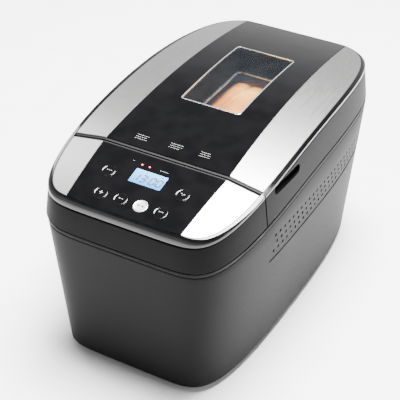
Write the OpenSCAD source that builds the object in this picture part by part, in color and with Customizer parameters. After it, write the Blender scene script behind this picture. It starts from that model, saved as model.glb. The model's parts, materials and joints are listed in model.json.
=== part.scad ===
// Bread machine: a long two-paddle bread maker with a hinged, arched lid and a viewing window.
// Frame: origin at the middle of the footprint on the worktop, +Z up, front towards -Y, +X to the
// right of someone who faces the front. Millimetres.

/* [Casing] */
// Width of the casing at the line where lid and body meet
body_w = 272; // [264:1:330]
// Depth of the casing, front to back
body_d = 452; // [444:1:545]
// Height of the highest point of the lid above the worktop
body_h = 275; // [272:1:330]
// Place, front to back, where the casing is widest
wide_y = -29; // [-40:1:-15]
// How square the sides of the plan outline are
side_power = 7.5; // [5:0.5:9]
// How square the front and back of the plan outline are
end_power = 2.6; // [2.4:0.1:3.2]
// How far the foot of each side stands in from its top
base_in_x = 17.5; // [10:0.5:20]
// How far the foot of the front and back stands in from its top
base_in_y = 11.5; // [6:0.5:14]
// Wall of the casing mouldings
wall = 2.5; // [2:0.1:3]
// Height of the casing's lower edge above the worktop
skirt_z = 8; // [7:0.5:10]
// Height of the rubber feet under the base
foot_h = 5; // [4:0.5:6]

/* [Top] */
// Radius of the arch that the top follows from front to back
arch_r = 1000; // [900:10:1400]
// Place of the highest point of the arch
crest_y = 56; // [45:1:65]
// Radius of the arch of the line where lid and body meet
seam_r = 1430; // [1200:10:2000]
// Height of the lid and its skirt at the highest point
lid_depth = 55; // [54:0.5:60]
// How far the rim of the top stands in from the widest line
rim_in = 3.8; // [2:0.1:5]
// How far the steel strips fall from their inner edge to the rim
rim_drop = 8.6; // [6:0.1:10]
// Width of the glossy panel at the front edge
panel_w_front = 147; // [140:1:150]
// Width of the glossy panel where lid and control panel meet
panel_w_split = 164; // [158:1:168]
// Width of the glossy panel at the back edge
panel_w_rear = 145; // [140:1:150]
// Black border between the strips and the rim
border = 4.5; // [3:0.5:6]
// Thickness of the panel and strips
skin_t = 1.4; // [1.2:0.1:2]
// Thickness of the frame that carries them
frame_t = 2.2; // [2:0.1:3]

/* [Lid] */
// Place, front to back, of the joint between lid and control panel
split_y = -124; // [-126:1:-122]
// Gap between lid and control panel, below the top skin
split_gap = 2; // [1.5:0.1:3]
// Extra gap on each side, in the top skin only
skin_gap = 2.6; // [2:0.1:3]
// Gap along the line where lid and body meet
lid_gap = 1.4; // [1:0.1:2]
// Width of the window
window_w = 81; // [70:1:90]
// Length of the window
window_l = 149; // [130:1:155]
// Middle of the window, front to back
window_y = 55; // [50:1:60]
// Distance of the hinge axis in from the back of the casing
hinge_in = 9; // [8.5:0.5:11]
// Height of the hinge axis above the line where lid and body meet
hinge_up = 10; // [9:0.5:11]
// Radius of the hinge pins
hinge_pin_r = 2; // [1.5:0.1:2.5]
// Length of each finger grip in the lid's sides
grip_l = 60; // [50:1:64]
// Height of each finger grip
grip_h = 12; // [10:0.5:13]

/* [Controls] */
// Diameter of the round buttons
button_d = 17.4; // [15:0.1:18]
// Travel of a button
button_travel = 1; // [0.5:0.1:1.2]
// Distance between the buttons of the front row
button_pitch = 26; // [24:0.5:28]
// Place of the front row of buttons
front_row_y = -198.5; // [-200:0.5:-196]
// Place of the back row of buttons
back_row_y = -167; // [-170:0.5:-164]
// Distance of the back row's buttons from the middle
back_row_x = 48.5; // [45:0.5:52]
// Width of the display
lcd_w = 42; // [38:1:46]
// Height of the display
lcd_h = 21.5; // [18:0.5:24]
// Middle of the display, front to back
lcd_y = -160.7; // [-164:0.1:-158]

/* [Baking chamber] */
// Width of the baking chamber inside
chamber_w = 164; // [160:1:170]
// Length of the baking chamber inside
chamber_l = 292; // [288:1:296]
// Middle of the baking chamber, front to back
chamber_y = 44; // [42:1:46]
// Sheet thickness of the baking chamber
sheet = 1.2; // [0.8:0.1:1.6]
// Height of the baking chamber's floor
chamber_z = 58; // [56:0.5:60]
// Width of the bread pan at its rim
pan_w = 132; // [126:1:134]
// Length of the bread pan at its rim
pan_l = 268; // [262:1:270]
// How far each pan wall leans in towards the floor
pan_draft = 5; // [2:0.5:6]
// Height of the pan's floor
pan_z = 80; // [79:0.5:82]
// Height of the pan's rim
pan_top = 192; // [180:1:194]
// Distance between the two paddles
paddle_pitch = 130; // [120:1:132]
// Radius that a paddle sweeps
paddle_r = 42; // [36:1:44]
// Radius of the drive and pan shafts
shaft_r = 4; // [3.5:0.1:4.5]

/* [Hidden] */
$fn = 48;

fit = 0.05;        // radial clearance of a shaft in its bush
clear = 0.3;       // clearance between pieces that only stand next to each other
big = 700;         // longer than the machine, for cuts that run right through
steps = 72;        // points around the plan outline
half_w = body_w / 2;
half_d = body_d / 2;
front_reach = half_d + wide_y;
rear_reach = half_d - wide_y;
seam_h = body_h - lid_depth;
top_t = skin_t + frame_t;
shoulder_z = seam_h - 15;   // the casing is upright between this height and the flare of the lid
flare_z = seam_h - 5;
base_bottom = foot_h;

// Height of the top of the glossy panel at a place y
function arch_z(y) = body_h - arch_r + sqrt(pow(arch_r, 2) - pow(y - crest_y, 2));
// Height of the line where lid and body meet
function seam_z(y) = seam_h - seam_r + sqrt(pow(seam_r, 2) - pow(y - crest_y, 2));
// Tilt of the top surface about X
function arch_tilt(y) = asin((crest_y - y) / arch_r);
function mix(a, b, k) = a + (b - a) * k;
// Half width of the glossy panel
function fold_x(y) = y < split_y
    ? mix(panel_w_front, panel_w_split, (y + half_d) / (split_y + half_d)) / 2
    : mix(panel_w_split, panel_w_rear, (y - split_y) / (half_d - split_y)) / 2;
function signed_power(v, e) = sign(v) * pow(abs(v), e);
// Half width of the plan outline at a place y, moved in by inset
function half_x(y, inset) = let (reach = (y < wide_y ? front_reach : rear_reach) - inset)
    (half_w - inset) * pow(max(0, 1 - pow(abs(y - wide_y) / reach, end_power)), 1 / side_power);
// Place y of the front or rear outline at an angle round it
function front_y(t, inset) = wide_y - (front_reach - inset) * pow(sin(t), 2 / end_power);
function rear_y(t, inset) = wide_y + (rear_reach - inset) * pow(sin(t), 2 / end_power);
// Angle round the outline at a place y
function outline_angle(y) = let (reach = y < wide_y ? front_reach : rear_reach)
    asin(pow(abs(y - wide_y) / reach, end_power / 2));
// Height of the top at x, y, lowered by drop
function top_z(x, y, drop) = arch_z(y) - drop
    - rim_drop * max(0, abs(x) - fold_x(y)) / (half_w - rim_in - fold_x(y));
// Points of the plan outline, moved in by in_x at the sides and in_y at the ends
function plan_points(in_x, in_y) = [for (i = [0 : steps - 1])
    let (t = 360 * i / steps, reach = t > 180 ? front_reach : rear_reach)
    [(half_w - in_x) * signed_power(cos(t), 2 / side_power),
        wide_y + (reach - in_y) * signed_power(sin(t), 2 / end_power)]];
// One point of the plan outline
function plan_point(t, inset) = let (reach = sin(t) < 0 ? front_reach : rear_reach)
    [(half_w - inset) * signed_power(cos(t), 2 / side_power),
        wide_y + (reach - inset) * signed_power(sin(t), 2 / end_power)];
function cap(first, n) = [for (i = [0 : n - 1]) first + i];
function reversed(list) = [for (i = [len(list) - 1 : -1 : 0]) list[i]];

// ---- shared shapes ----

module plan(inset) { polygon(plan_points(inset, inset)); }

// A solid through a list of closed sections, each with the same number of points in the same turn;
// ends lists the faces that close the first section
module through(sections, ends = undef) {
    n = len(sections);
    m = len(sections[0]);
    first = ends == undef ? [cap(0, m)] : ends;
    last = [for (face = first) reversed([for (i = face) i + (n - 1) * m])];
    sides = [for (k = [0 : n - 2]) for (i = [0 : m - 1])
        let (a = k * m + i, b = k * m + (i + 1) % m)
        each [[a, a + m, b], [b, a + m, b + m]]];
    polyhedron([for (s = sections) each s],
        concat(first, sides, last), convexity = 6);
}

// The tapered body of the casing, moved in by inset; over lengthens it up and down
module body_form(inset, over = 0) {
    lip = over > 0 ? 0 : 1.5;
    levels = [[skirt_z - over, base_in_x + inset + lip, base_in_y + inset + lip],
        [skirt_z + 5, base_in_x + inset, base_in_y + inset],
        [shoulder_z, inset, inset],
        [seam_h + 4 + over, inset, inset]];
    through([for (l = levels) [for (p = plan_points(l[1], l[2])) [p[0], p[1], l[0]]]]);
}

// A closed loop of sections, each with the same number of points
module loop(sections) {
    n = len(sections);
    m = len(sections[0]);
    polyhedron([for (s = sections) each s],
        [for (k = [0 : n - 1]) for (i = [0 : m - 1])
            let (j = (i + 1) % m, a = k * m, b = (k + 1) % n * m)
            each [[a + i, b + i, a + j], [a + j, b + i, b + j]]], convexity = 6);
}

// The angles round the outline between two ends that lie in the plane y
function round_angles(y, back) = let (t = outline_angle(y), n = 34)
    [for (i = [1 : n - 1]) back ? mix(-t, 180 + t, i / n) : mix(t - 180, -t, i / n)];

// Four corners of a wall section: out and in at the seam, in and out under the frame
function wall_section(low, high, high_in, low_in, z1) =
    [[low[0], low[1], seam_z(low[1]) + lid_gap / 2], [low_in[0], low_in[1], seam_z(low_in[1]) + lid_gap / 2],
        [high_in[0], high_in[1], z1], [high[0], high[1], z1]];
rim_gap = 0.8;       // between the band and the frame above it
function under_rim(y) = arch_z(y) - rim_drop - top_t - rim_gap;

// The wall between the seam and the frame, right round the lid or the control end
module band(y, back) {
    yi = y + (back ? wall : -wall);
    k = back ? 1 : -1;
    f = fold_x(y);
    zf = arch_z(y) - top_t - rim_gap;
    first = wall_section([k * half_x(y, 0), y], [k * half_x(y, rim_in), y],
        [k * half_x(yi, rim_in + wall), yi], [k * half_x(yi, wall), yi], under_rim(y));
    last = [for (p = first) [-p[0], p[1], p[2]]];
    side = [for (t = round_angles(yi + 2 * k, back))
        let (high = plan_point(t, rim_in))
        wall_section(plan_point(t, 0), high, plan_point(t, rim_in + wall), plan_point(t, wall),
            under_rim(high[1]))];
    loop(concat([first], side, [last],
        [for (x = [-k * f, k * f]) wall_section([x, y], [x, y], [x, yi], [x, yi], zf)]));
}

// Height of the rounded rim where it stands e in from the widest line, lowered by d
function rim_z(x, y, e, d) = let (k = max(0, (rim_in + border - e) / border))
    mix(top_z(x, y, 0), arch_z(y) - rim_drop, 1 - sqrt(max(0, 1 - k * k))) - d;
rim_profile = [[1, top_t], [1, 0], [0.5, 0], [0.2, 0], [0.05, 0], [0, 0], [0, top_t]];

// The rounded black rim round the lid or the control end
module rim(y, back) {
    k = back ? 1 : -1;
    first = [for (q = rim_profile) let (e = rim_in + q[0] * border, x = half_x(y, e))
        [k * x, y, rim_z(x, y, e, q[1])]];
    last = [for (p = first) [-p[0], p[1], p[2]]];
    side = [for (t = round_angles(y + 3 * k, back))
        [for (q = rim_profile) let (e = rim_in + q[0] * border, p = plan_point(t, e))
            [p[0], p[1], rim_z(p[0], p[1], e, q[1])]]];
    through(concat([first], side, [last]));
}

// Everything below an arch: extruded across the machine
module below_seam(gap) {
    profile = [for (i = [0 : 20]) let (y = mix(-half_d - 5, half_d + 5, i / 20)) [y, seam_z(y) + gap]];
    rotate([90, 0, 90])
        translate([0, 0, -big / 2])
            linear_extrude(big)
                polygon(concat([[half_d + 5, -5], [-half_d - 5, -5]], profile));
}

// Stations along the control end and along the lid, closer together where the outline turns
function front_ys(inset, y1) = concat(
    [for (t = [86.5, 82, 76, 70, 62, 54, 46, 38, 30]) if (front_y(t, inset) < y1 - 3) front_y(t, inset)], [y1]);
function rear_ys(inset, y0) = concat([y0], [for (y = [-108 : 14 : wide_y - 8]) if (y > y0 + 4) y],
    [for (t = [0 : 6 : 84]) rear_y(t, inset)], [rear_y(86.5, inset)]);

// The whole top between two depths below its surface, out to the outline
module top_layer(ys, inset, d0, d1) {
    through([for (y = ys) let (x = half_x(y, inset), f = min(fold_x(y), x - 0.6))
        [[-x, y, top_z(x, y, d0)], [-f, y, top_z(f, y, d0)], [f, y, top_z(f, y, d0)], [x, y, top_z(x, y, d0)],
            [x, y, top_z(x, y, d1)], [f, y, top_z(f, y, d1)], [-f, y, top_z(f, y, d1)],
            [-x, y, top_z(x, y, d1)]]], [[0, 1, 6, 7], [1, 2, 5, 6], [2, 3, 4, 5]]);
}

// The glossy panel's part of the top
module panel_layer(ys, inset, d0, d1) {
    through([for (y = ys) let (x = min(fold_x(y) - 0.2, half_x(y, inset)))
        [[-x, y, arch_z(y) - d0], [x, y, arch_z(y) - d0], [x, y, arch_z(y) - d1], [-x, y, arch_z(y) - d1]]]);
}

// The strip on the right of the panel
module strip_layer(ys, inset, d0, d1) {
    through([for (y = ys) let (f = fold_x(y) + 0.2, x = half_x(y, inset))
        [[f, y, top_z(f, y, d0)], [x, y, top_z(x, y, d0)], [x, y, top_z(x, y, d1)], [f, y, top_z(f, y, d1)]]]);
}

// Where a strip runs out at an end of the machine
function strip_end(reach, fold, inset) =
    (reach - inset) * pow(1 - pow((fold + 1.2) / (half_w - inset), side_power), 1 / end_power);

// Everything behind a place in y
module behind(y) { translate([-big / 2, y, -big / 2]) cube([big, big, big]); }

// Upright prism on a plan
module upright(z0, z1) { translate([0, 0, z0]) linear_extrude(z1 - z0) children(); }

// Rectangle with round corners, built from squares and circles so that its corners stay true arcs
module round_rect(w, l, r) {
    square([w - 2 * r, l], center = true);
    square([w, l - 2 * r], center = true);
    for (x = [-1, 1])
        for (y = [-1, 1])
            translate([x * (w / 2 - r), y * (l / 2 - r)]) circle(r);
}

// Puts children on the top surface at x, y, square to it
module on_top(x, y) {
    translate([x, y, arch_z(y)]) rotate([arch_tilt(y), 0, 0]) children();
}

module tube(r_in, r_out, z0, z1) {
    translate([0, 0, z0]) difference() {
        cylinder(r = r_out, h = z1 - z0);
        translate([0, 0, -1]) cylinder(r = r_in, h = z1 - z0 + 2);
    }
}

// ---- casing ----

vent_front = -107;   // the grille on each side: its ends, its lower edge and its upper corners
vent_rear = 180;
vent_low = 144;
vent_high_front = 191;
vent_high_rear = 176;
vent_round = 10;
boss_ys = [-150, 165];   // screw columns in the corners of the casing
function boss_x(y) = half_x(y, base_in_x) - wall - 3;
gland_x = -70;
gland_z = 40;
gland_r = 3.6;
rear_relief = 2;     // the casing's back edge stands lower, so that the lid's skirt can swing past it

module vent_outline(shrink) {
    corner = [for (a = [90 : 15 : 180])
        [vent_front + vent_round + (vent_round - shrink) * cos(a),
            vent_high_front - vent_round + (vent_round - shrink) * sin(a)]];
    polygon(concat([[vent_front + shrink, vent_low + shrink], [vent_rear - shrink, vent_low + shrink],
        [vent_rear - shrink, vent_high_rear - shrink]], corner));
}

module vent_prism(s, shrink) {
    rotate([90, 0, 90])
        translate([0, 0, s > 0 ? half_w / 2 : -half_w * 3 / 2])
            linear_extrude(half_w)
                vent_outline(shrink);
}

function back_y(z) = half_d - base_in_y * max(0, shoulder_z - z) / (shoulder_z - skirt_z - 5);

module housing() {
    color("#343335") {
        difference() {
            intersection() {
                body_form(0);
                below_seam(-lid_gap / 2);
            }
            body_form(wall, 12);
            for (s = [-1, 1])
                vent_prism(s, 0);
            translate([-half_w, half_d - 26, seam_z(half_d) - lid_gap / 2 - rear_relief])
                cube([body_w, 30, 20]);
            translate([gland_x, half_d - 40, gland_z])
                rotate([-90, 0, 0]) cylinder(r = gland_r + 4.2, h = 60);
        }
        difference() {
            intersection() {
                for (s = [-1, 1])
                    for (y = boss_ys)
                        translate([s * boss_x(y), y, skirt_z + 4]) cylinder(r = 7, h = 24);
                body_form(wall - 0.5, 6);
            }
            for (s = [-1, 1])
                for (y = boss_ys)
                    translate([s * boss_x(y), y, skirt_z]) cylinder(r = 1.6, h = 22);
        }
    }
}

module base_plate() {
    column_h = 30;
    color("#1f1f20") difference() {
        union() {
            upright(skirt_z + 0.4, skirt_z + 3.4) polygon(plan_points(base_in_x + wall + 1, base_in_y + wall + 1));
            upright(base_bottom, skirt_z + 1) polygon(plan_points(base_in_x + 14, base_in_y + 14));
            for (x = [-bracket_x, bracket_x])
                for (y = bracket_y)
                    translate([x, y, skirt_z]) cylinder(r = 5, h = bracket_z - skirt_z);
            for (x = [-1, 1])
                for (y = [-1, 1])
                    translate([motor_x + x * motor_post, motor_y + y * motor_post, skirt_z])
                        cylinder(r = 3.5, h = bracket_z - skirt_z);
        }
        for (x = [-foot_x, foot_x])
            for (y = [foot_front_y, foot_rear_y])
                translate([x, y, 0]) cylinder(r = foot_peg_r, h = skirt_z + 10);
        for (s = [-1, 1])
            for (y = boss_ys)
                translate([s * boss_x(y), y, 0]) cylinder(r = 2, h = skirt_z + 10);
        for (k = [-4 : 4])
            translate([k * 12 - 2, 60, 0]) cube([4, 60, skirt_z + 10]);
    }
}

foot_x = 78;
foot_front_y = -165;
foot_rear_y = 172;
foot_peg_r = 4;

module rubber_feet() {
    color("#161616")
        for (x = [-foot_x, foot_x])
            for (y = [foot_front_y, foot_rear_y])
                translate([x, y, 0]) {
                    cylinder(r1 = 10, r2 = 11, h = foot_h - 0.1);
                    cylinder(r = foot_peg_r - 0.1, h = skirt_z + 3);
                }
}

vent_pitch = 11;
vent_hole_r = 2.2;

module vent_grille(s) {
    rows = 3;
    columns = 24;
    color("#3a393b") difference() {
        intersection() {
            difference() {
                body_form(0.7);
                body_form(wall, 12);
            }
            vent_prism(s, clear);
        }
        for (r = [0 : rows - 1])
            for (c = [0 : columns - 1])
                let (y = vent_front + 9 + (c + (r % 2) / 2) * vent_pitch,
                    top = mix(vent_high_front, vent_high_rear, (y - vent_front) / (vent_rear - vent_front)),
                    low = vent_low + 3,
                    z = mix(low, top, (r + 0.8) / (rows + 0.6)))
                    if (y < vent_rear - 5)
                        translate([s * half_w / 2, y, z])
                            rotate([0, s * 90, 0]) cylinder(r = vent_hole_r, h = half_w, $fn = 16);
    }
}

module left_vent_grille() { vent_grille(-1); }
module right_vent_grille() { vent_grille(1); }

// ---- control end ----

front_edge = split_y - split_gap / 2;   // back edge of the control end
lid_edge = split_y + split_gap / 2;     // front edge of the lid
buttons = [[-back_row_x, back_row_y], [-1.5 * button_pitch, front_row_y], [-0.5 * button_pitch, front_row_y],
    [0.5 * button_pitch, front_row_y], [1.5 * button_pitch, front_row_y], [back_row_x, back_row_y]];
led_x = [-18, -8];
led_y = -144;
led_r = 1.2;
lens_t = 1.1;

module control_housing() { color("#343335") band(front_edge, false); }

// Holes for the buttons, display and lights, each larger by extra
module control_holes(extra) {
    for (b = buttons)
        on_top(b[0], b[1]) translate([0, 0, -20]) cylinder(r = button_d / 2 + clear + extra, h = 40);
    for (x = led_x)
        on_top(x, led_y) translate([0, 0, -20]) cylinder(r = led_r + clear, h = 40);
    on_top(0, lcd_y) translate([-lcd_w / 2, -lcd_h / 2, -20]) cube([lcd_w, lcd_h, 40]);
}

module control_frame() {
    color("#0e0e10") difference() {
        union() {
            rim(front_edge, false);
            top_layer(front_ys(rim_in + border - 1.2, front_edge), rim_in + border - 1.2, skin_t, top_t - 0.2);
        }
        control_holes(0.4);
    }
}

skin_in = rim_in + border + 0.7;   // inset of the panels and strips
skin_low = skin_t - 0.1;

module control_panel() {
    color("#08080a") difference() {
        panel_layer(front_ys(skin_in, front_edge - skin_gap), skin_in, 0, skin_low);
        control_holes(0);
    }
}

module right_control_trim() {
    y0 = wide_y - strip_end(front_reach, panel_w_front / 2, skin_in);
    ys = [for (y = front_ys(skin_in, front_edge - skin_gap)) if (y > y0 + 0.5) y];
    color("#c9c9c9") strip_layer(concat([y0], ys), skin_in, 0, skin_low);
}

module left_control_trim() { mirror([1, 0, 0]) right_control_trim(); }

module lcd_lens() {
    color("#8fb4d8") on_top(0, lcd_y)
        translate([0, 0, -skin_t / 2 - 0.1])
            cube([lcd_w - 0.4, lcd_h - 0.4, lens_t], center = true);
}

module lcd_module() {
    color("#2c5f2d") on_top(0, lcd_y) {
        translate([-26, -15, -top_t - 4]) cube([52, 30, 3.2]);
        translate([-lcd_w / 2 + 0.5, -lcd_h / 2 + 0.5, -top_t - 1]) cube([lcd_w - 1, lcd_h - 1, 3]);
    }
}

module indicator_lights() {
    color("#ff5a6e")
        for (x = led_x)
            on_top(x, led_y) {
                translate([0, 0, -9]) cylinder(r = led_r, h = 8.8);
                translate([0, 0, -0.2]) sphere(r = led_r);
            }
}

board_y = -178;
board_drop = 14;
stem_bottom = 9.2;
switch_gap = 0.3;

module control_board() {
    color("#1d5c34") {
        on_top(0, board_y) translate([0, 0, -board_drop - 1.6]) difference() {
            translate([-74, -30, 0]) cube([148, 62, 1.6]);
            for (x = [-68, 68])
                translate([x, 0, -1]) cylinder(r = 1.8, h = 4);
        }
        for (b = buttons)
            on_top(b[0], b[1])
                translate([-3, -3, -board_drop - 0.8])
                    cube([6, 6, board_drop + 0.8 - stem_bottom - button_travel - switch_gap]);
    }
}

module button(i, shade) {
    rim = 0.7;
    color(shade) on_top(buttons[i][0], buttons[i][1]) {
        translate([0, 0, -top_t - 0.9]) cylinder(r = button_d / 2, h = top_t + 1.2);
        translate([0, 0, 0.3]) cylinder(r1 = button_d / 2, r2 = button_d / 2 - rim, h = rim);
        translate([0, 0, -top_t - 2.1]) cylinder(r = button_d / 2 + 1.6, h = 1.2);
        translate([0, 0, -stem_bottom]) cylinder(r = 2.2, h = stem_bottom - top_t);
    }
}

module programme_button() { button(0, "#121214"); }
module plus_button() { button(1, "#121214"); }
module minus_button() { button(2, "#121214"); }
module start_stop_button() { button(3, "#c8c8ca"); }
module crust_button() { button(4, "#121214"); }
module weight_button() { button(5, "#121214"); }

// ---- inside the body ----

deck_z = 206;      // top of the deck
deck_t = 3;
flange = 8;
corner = 14;
hinge_y = half_d - hinge_in;
hinge_z = seam_z(hinge_y) + hinge_up;
hinge_x = 50;      // middle of each hinge post
post_w = 12;
knuckle_r = 4.8;
ear_w = 6;

module chamber_plan(extra) {
    translate([0, chamber_y]) round_rect(chamber_w + 2 * extra, chamber_l + 2 * extra, corner + extra);
}

module top_deck() {
    color("#2a2a2c") difference() {
        union() {
            intersection() {
                upright(deck_z - deck_t, deck_z) plan(wall + clear);
                behind(front_edge - wall);
            }
            for (s = [-1, 1]) {
                translate([s * hinge_x - post_w / 2, hinge_y - knuckle_r, deck_z - 1])
                    cube([post_w, 2 * knuckle_r, hinge_z - deck_z + 1]);
                translate([s * hinge_x - post_w / 2, hinge_y, hinge_z])
                    rotate([0, 90, 0]) cylinder(r = knuckle_r, h = post_w);
            }
        }
        translate([0, 0, deck_z - 10]) linear_extrude(20) chamber_plan(sheet + 0.6);
        for (s = [-1, 1])
            translate([s * hinge_x - post_w, hinge_y, hinge_z])
                rotate([0, 90, 0]) cylinder(r = hinge_pin_r, h = 2 * post_w);
    }
}

front_shaft_y = chamber_y - paddle_pitch / 2;
rear_shaft_y = chamber_y + paddle_pitch / 2;
shaft_ys = [front_shaft_y, rear_shaft_y];
bracket_z = 46;
bracket_t = 2.5;
bracket_x = 44;
bracket_y = [front_shaft_y + 22, rear_shaft_y + 12];
bush_r = 8;

module baking_chamber() {
    color("#9a9a98") difference() {
        union() {
            translate([0, 0, chamber_z]) linear_extrude(deck_z - chamber_z) chamber_plan(sheet);
            translate([0, 0, deck_z]) linear_extrude(sheet) chamber_plan(flange);
        }
        translate([0, 0, chamber_z + sheet]) linear_extrude(big) chamber_plan(0);
        for (y = shaft_ys)
            translate([0, y, 0]) cylinder(r = bush_r + 1, h = 100);
        translate([chamber_w / 2 - 5, chamber_y, sensor_z]) rotate([0, 90, 0]) cylinder(r = 4.2, h = 10);
        for (x = [-element_lead, element_lead])
            translate([x, chamber_y - chamber_l / 2 - 5, element_z]) rotate([-90, 0, 0]) cylinder(r = 5, h = 10);
    }
}

element_z = 74;
element_r = 3.3;
element_in = 7;      // distance from the chamber wall to the middle of the element
element_bend = 14;
element_lead = 20;
sensor_z = 120;

module rod(p, length, r) { translate(p) rotate([-90, 0, 0]) cylinder(r = r, h = length); }
module bend(x, y, from, angle) {
    translate([x, y, element_z])
        rotate([0, 0, from])
            rotate_extrude(angle = angle)
                translate([element_bend, 0]) circle(element_r);
}

// One loop round the foot of the chamber, with both ends led out through the front wall
module heating_element() {
    w = chamber_w / 2 - element_in;
    y0 = chamber_y - chamber_l / 2 + element_in;
    y1 = chamber_y + chamber_l / 2 - element_in;
    b = element_bend;
    lead_y = y0 - element_in - 12;
    color("#5a5652") union() {
        for (s = [-1, 1]) {
            rod([s * w, y0 + b, element_z], y1 - y0 - 2 * b, element_r);
            translate([s > 0 ? element_lead + b : -w + b, y0, element_z])
                rotate([0, 90, 0]) cylinder(r = element_r, h = w - 2 * b - element_lead);
            rod([s * element_lead, lead_y, element_z], y0 - b - lead_y, element_r);
        }
        translate([-w + b, y1, element_z]) rotate([0, 90, 0]) cylinder(r = element_r, h = 2 * (w - b));
        bend(w - b, y1 - b, 0, 90);
        bend(-w + b, y1 - b, 90, 90);
        bend(-w + b, y0 + b, 180, 90);
        bend(w - b, y0 + b, 270, 90);
        bend(element_lead + b, y0 - b, 90, 90);
        bend(-element_lead - b, y0 - b, 0, 90);
    }
}

module element_clips() {
    clip_w = 8;
    color("#8f8f8d")
        for (s = [-1, 1])
            for (y = [chamber_y - 80, chamber_y + 80])
                difference() {
                    translate([s > 0 ? chamber_w / 2 - 12 : -chamber_w / 2, y - clip_w / 2, chamber_z + sheet])
                        cube([12, clip_w, element_z - chamber_z]);
                    rod([s * (chamber_w / 2 - element_in), y - clip_w, element_z], 2 * clip_w, element_r);
                }
}

module temperature_sensor() {
    color("#b8b8b4") translate([chamber_w / 2, chamber_y, sensor_z]) rotate([0, 90, 0]) {
        translate([0, 0, -9]) cylinder(r = 3.5, h = 22);
        translate([0, 0, sheet + 0.1]) cylinder(r = 7, h = 3);
    }
}

seat_w = 66;
seat_l = 200;
seat_h = 11;
seat_t = 2;

module pan_seat() {
    color("#8c8c8a") translate([0, chamber_y, chamber_z + sheet]) difference() {
        linear_extrude(seat_h) round_rect(seat_w, seat_l, 12);
        translate([0, 0, 1.5]) linear_extrude(seat_h) round_rect(seat_w - 2 * seat_t, seat_l - 2 * seat_t, 10);
        for (y = shaft_ys)
            translate([0, y - chamber_y, -1]) cylinder(r = bush_r + 1, h = 10);
    }
}

module pan_clips() {
    clip_l = 22;
    clip_t = 1;
    color("#b0b0ae")
        for (s = [-1, 1])
            translate([s > 0 ? 0 : -2 * (seat_w / 2 + 0.1) - clip_t, 0, 0])
                translate([seat_w / 2 + 0.1, chamber_y - clip_l / 2, chamber_z + sheet]) {
                    cube([clip_t, clip_l, 16]);
                    translate([s > 0 ? -1.2 : clip_t, 0, 14]) cube([1.2, clip_l, 2]);
                }
}

module drive_bracket() {
    color("#a5a7aa") difference() {
        union() {
            translate([-bracket_x - 6, front_shaft_y - 38, bracket_z])
                cube([2 * bracket_x + 12, paddle_pitch + 76, bracket_t]);
            for (x = [-bracket_x - 6, bracket_x + 4])
                translate([x, front_shaft_y - 38, bracket_z]) cube([2, paddle_pitch + 76, chamber_z - bracket_z]);
        }
        for (y = shaft_ys)
            translate([0, y, 0]) cylinder(r = bush_r, h = 100);
    }
}

module shaft_bushes() {
    color("#a8834a")
        for (y = shaft_ys)
            translate([0, y, 0]) tube(shaft_r + fit, bush_r, bracket_z - 4, chamber_z + 3);
}

motor_x = 44;
motor_y = -164;
motor_r = 34;
motor_h = 62;
motor_post = 34;
motor_z = bracket_z + bracket_t;

module motor_bracket() {
    color("#a5a7aa") difference() {
        translate([motor_x - 38, motor_y - 38, bracket_z]) cube([76, 76, bracket_t]);
        translate([motor_x, motor_y, 0]) cylinder(r = 12, h = 100);
    }
}

module motor() {
    color("#6f7276") translate([motor_x, motor_y, motor_z]) difference() {
        union() {
            cylinder(r = motor_r, h = 12);
            translate([0, 0, 12]) cylinder(r = motor_r - 3, h = motor_h - 24);
            translate([0, 0, motor_h - 12]) cylinder(r = motor_r, h = 12);
            translate([0, 0, motor_h]) cylinder(r = 12, h = 4);
        }
        translate([0, 0, -1]) cylinder(r = shaft_r + fit, h = motor_h - 6);
    }
}

low_belt_z = 18;
high_belt_z = 31;
belt_w = 9;
pulley_r = 31;
small_r = 9;
belt_t = 2;
belt_gap = 0.3;

module motor_shaft() {
    color("#b9bbbe") translate([motor_x, motor_y, low_belt_z - 2])
        cylinder(r = shaft_r, h = motor_z - low_belt_z + 2 + motor_h - 10);
}

// A belt pulley with shallow grooves round its rim, from z0 to z1
module pulley(r, z0, z1) {
    grooves = 4;
    depth = 0.8;
    pitch = (z1 - z0) / grooves;
    rim = [for (i = [0 : grooves - 1]) each [[r, z0 + i * pitch], [r - depth, z0 + (i + 0.5) * pitch]]];
    rotate_extrude()
        polygon(concat([[shaft_r, z0]], rim, [[r, z1], [shaft_r, z1]]));
}

module motor_pulley() {
    color("#d8d3c4") translate([motor_x, motor_y, 0]) pulley(small_r, low_belt_z, low_belt_z + belt_w);
}

module front_pulley() {
    color("#d8d3c4") translate([0, front_shaft_y, 0]) {
        pulley(pulley_r, low_belt_z, low_belt_z + belt_w);
        tube(shaft_r, pulley_r - 3, low_belt_z + belt_w, high_belt_z);
        pulley(pulley_r, high_belt_z, high_belt_z + belt_w);
    }
}

module rear_pulley() {
    color("#d8d3c4") translate([0, rear_shaft_y, 0]) pulley(pulley_r, high_belt_z, high_belt_z + belt_w);
}

dog_z = 62;
dog_h = 8;

module drive_shaft(y) {
    color("#b9bbbe") translate([0, y, 0]) {
        translate([0, 0, low_belt_z - 3]) cylinder(r = shaft_r, h = dog_z + dog_h - low_belt_z + 3);
        translate([0, 0, dog_z]) cylinder(r = 6, h = dog_h - 1);
        translate([-10, -2.5, dog_z]) cube([20, 5, dog_h - 1]);
    }
}

module front_drive_shaft() { drive_shaft(front_shaft_y); }
module rear_drive_shaft() { drive_shaft(rear_shaft_y); }

// Outline of a belt round two pulleys: two arcs joined by two straight runs
function belt_outline(p, rp, q, rq) = let (
        along = atan2(q[1] - p[1], q[0] - p[0]),
        turn = acos((rp - rq) / norm(q - p)), n = 32)
    concat([for (i = [0 : n]) let (a = along + turn + (360 - 2 * turn) * i / n)
            p + rp * [cos(a), sin(a)]],
        [for (i = [0 : n]) let (a = along - turn + 2 * turn * i / n)
            q + rq * [cos(a), sin(a)]]);

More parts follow.
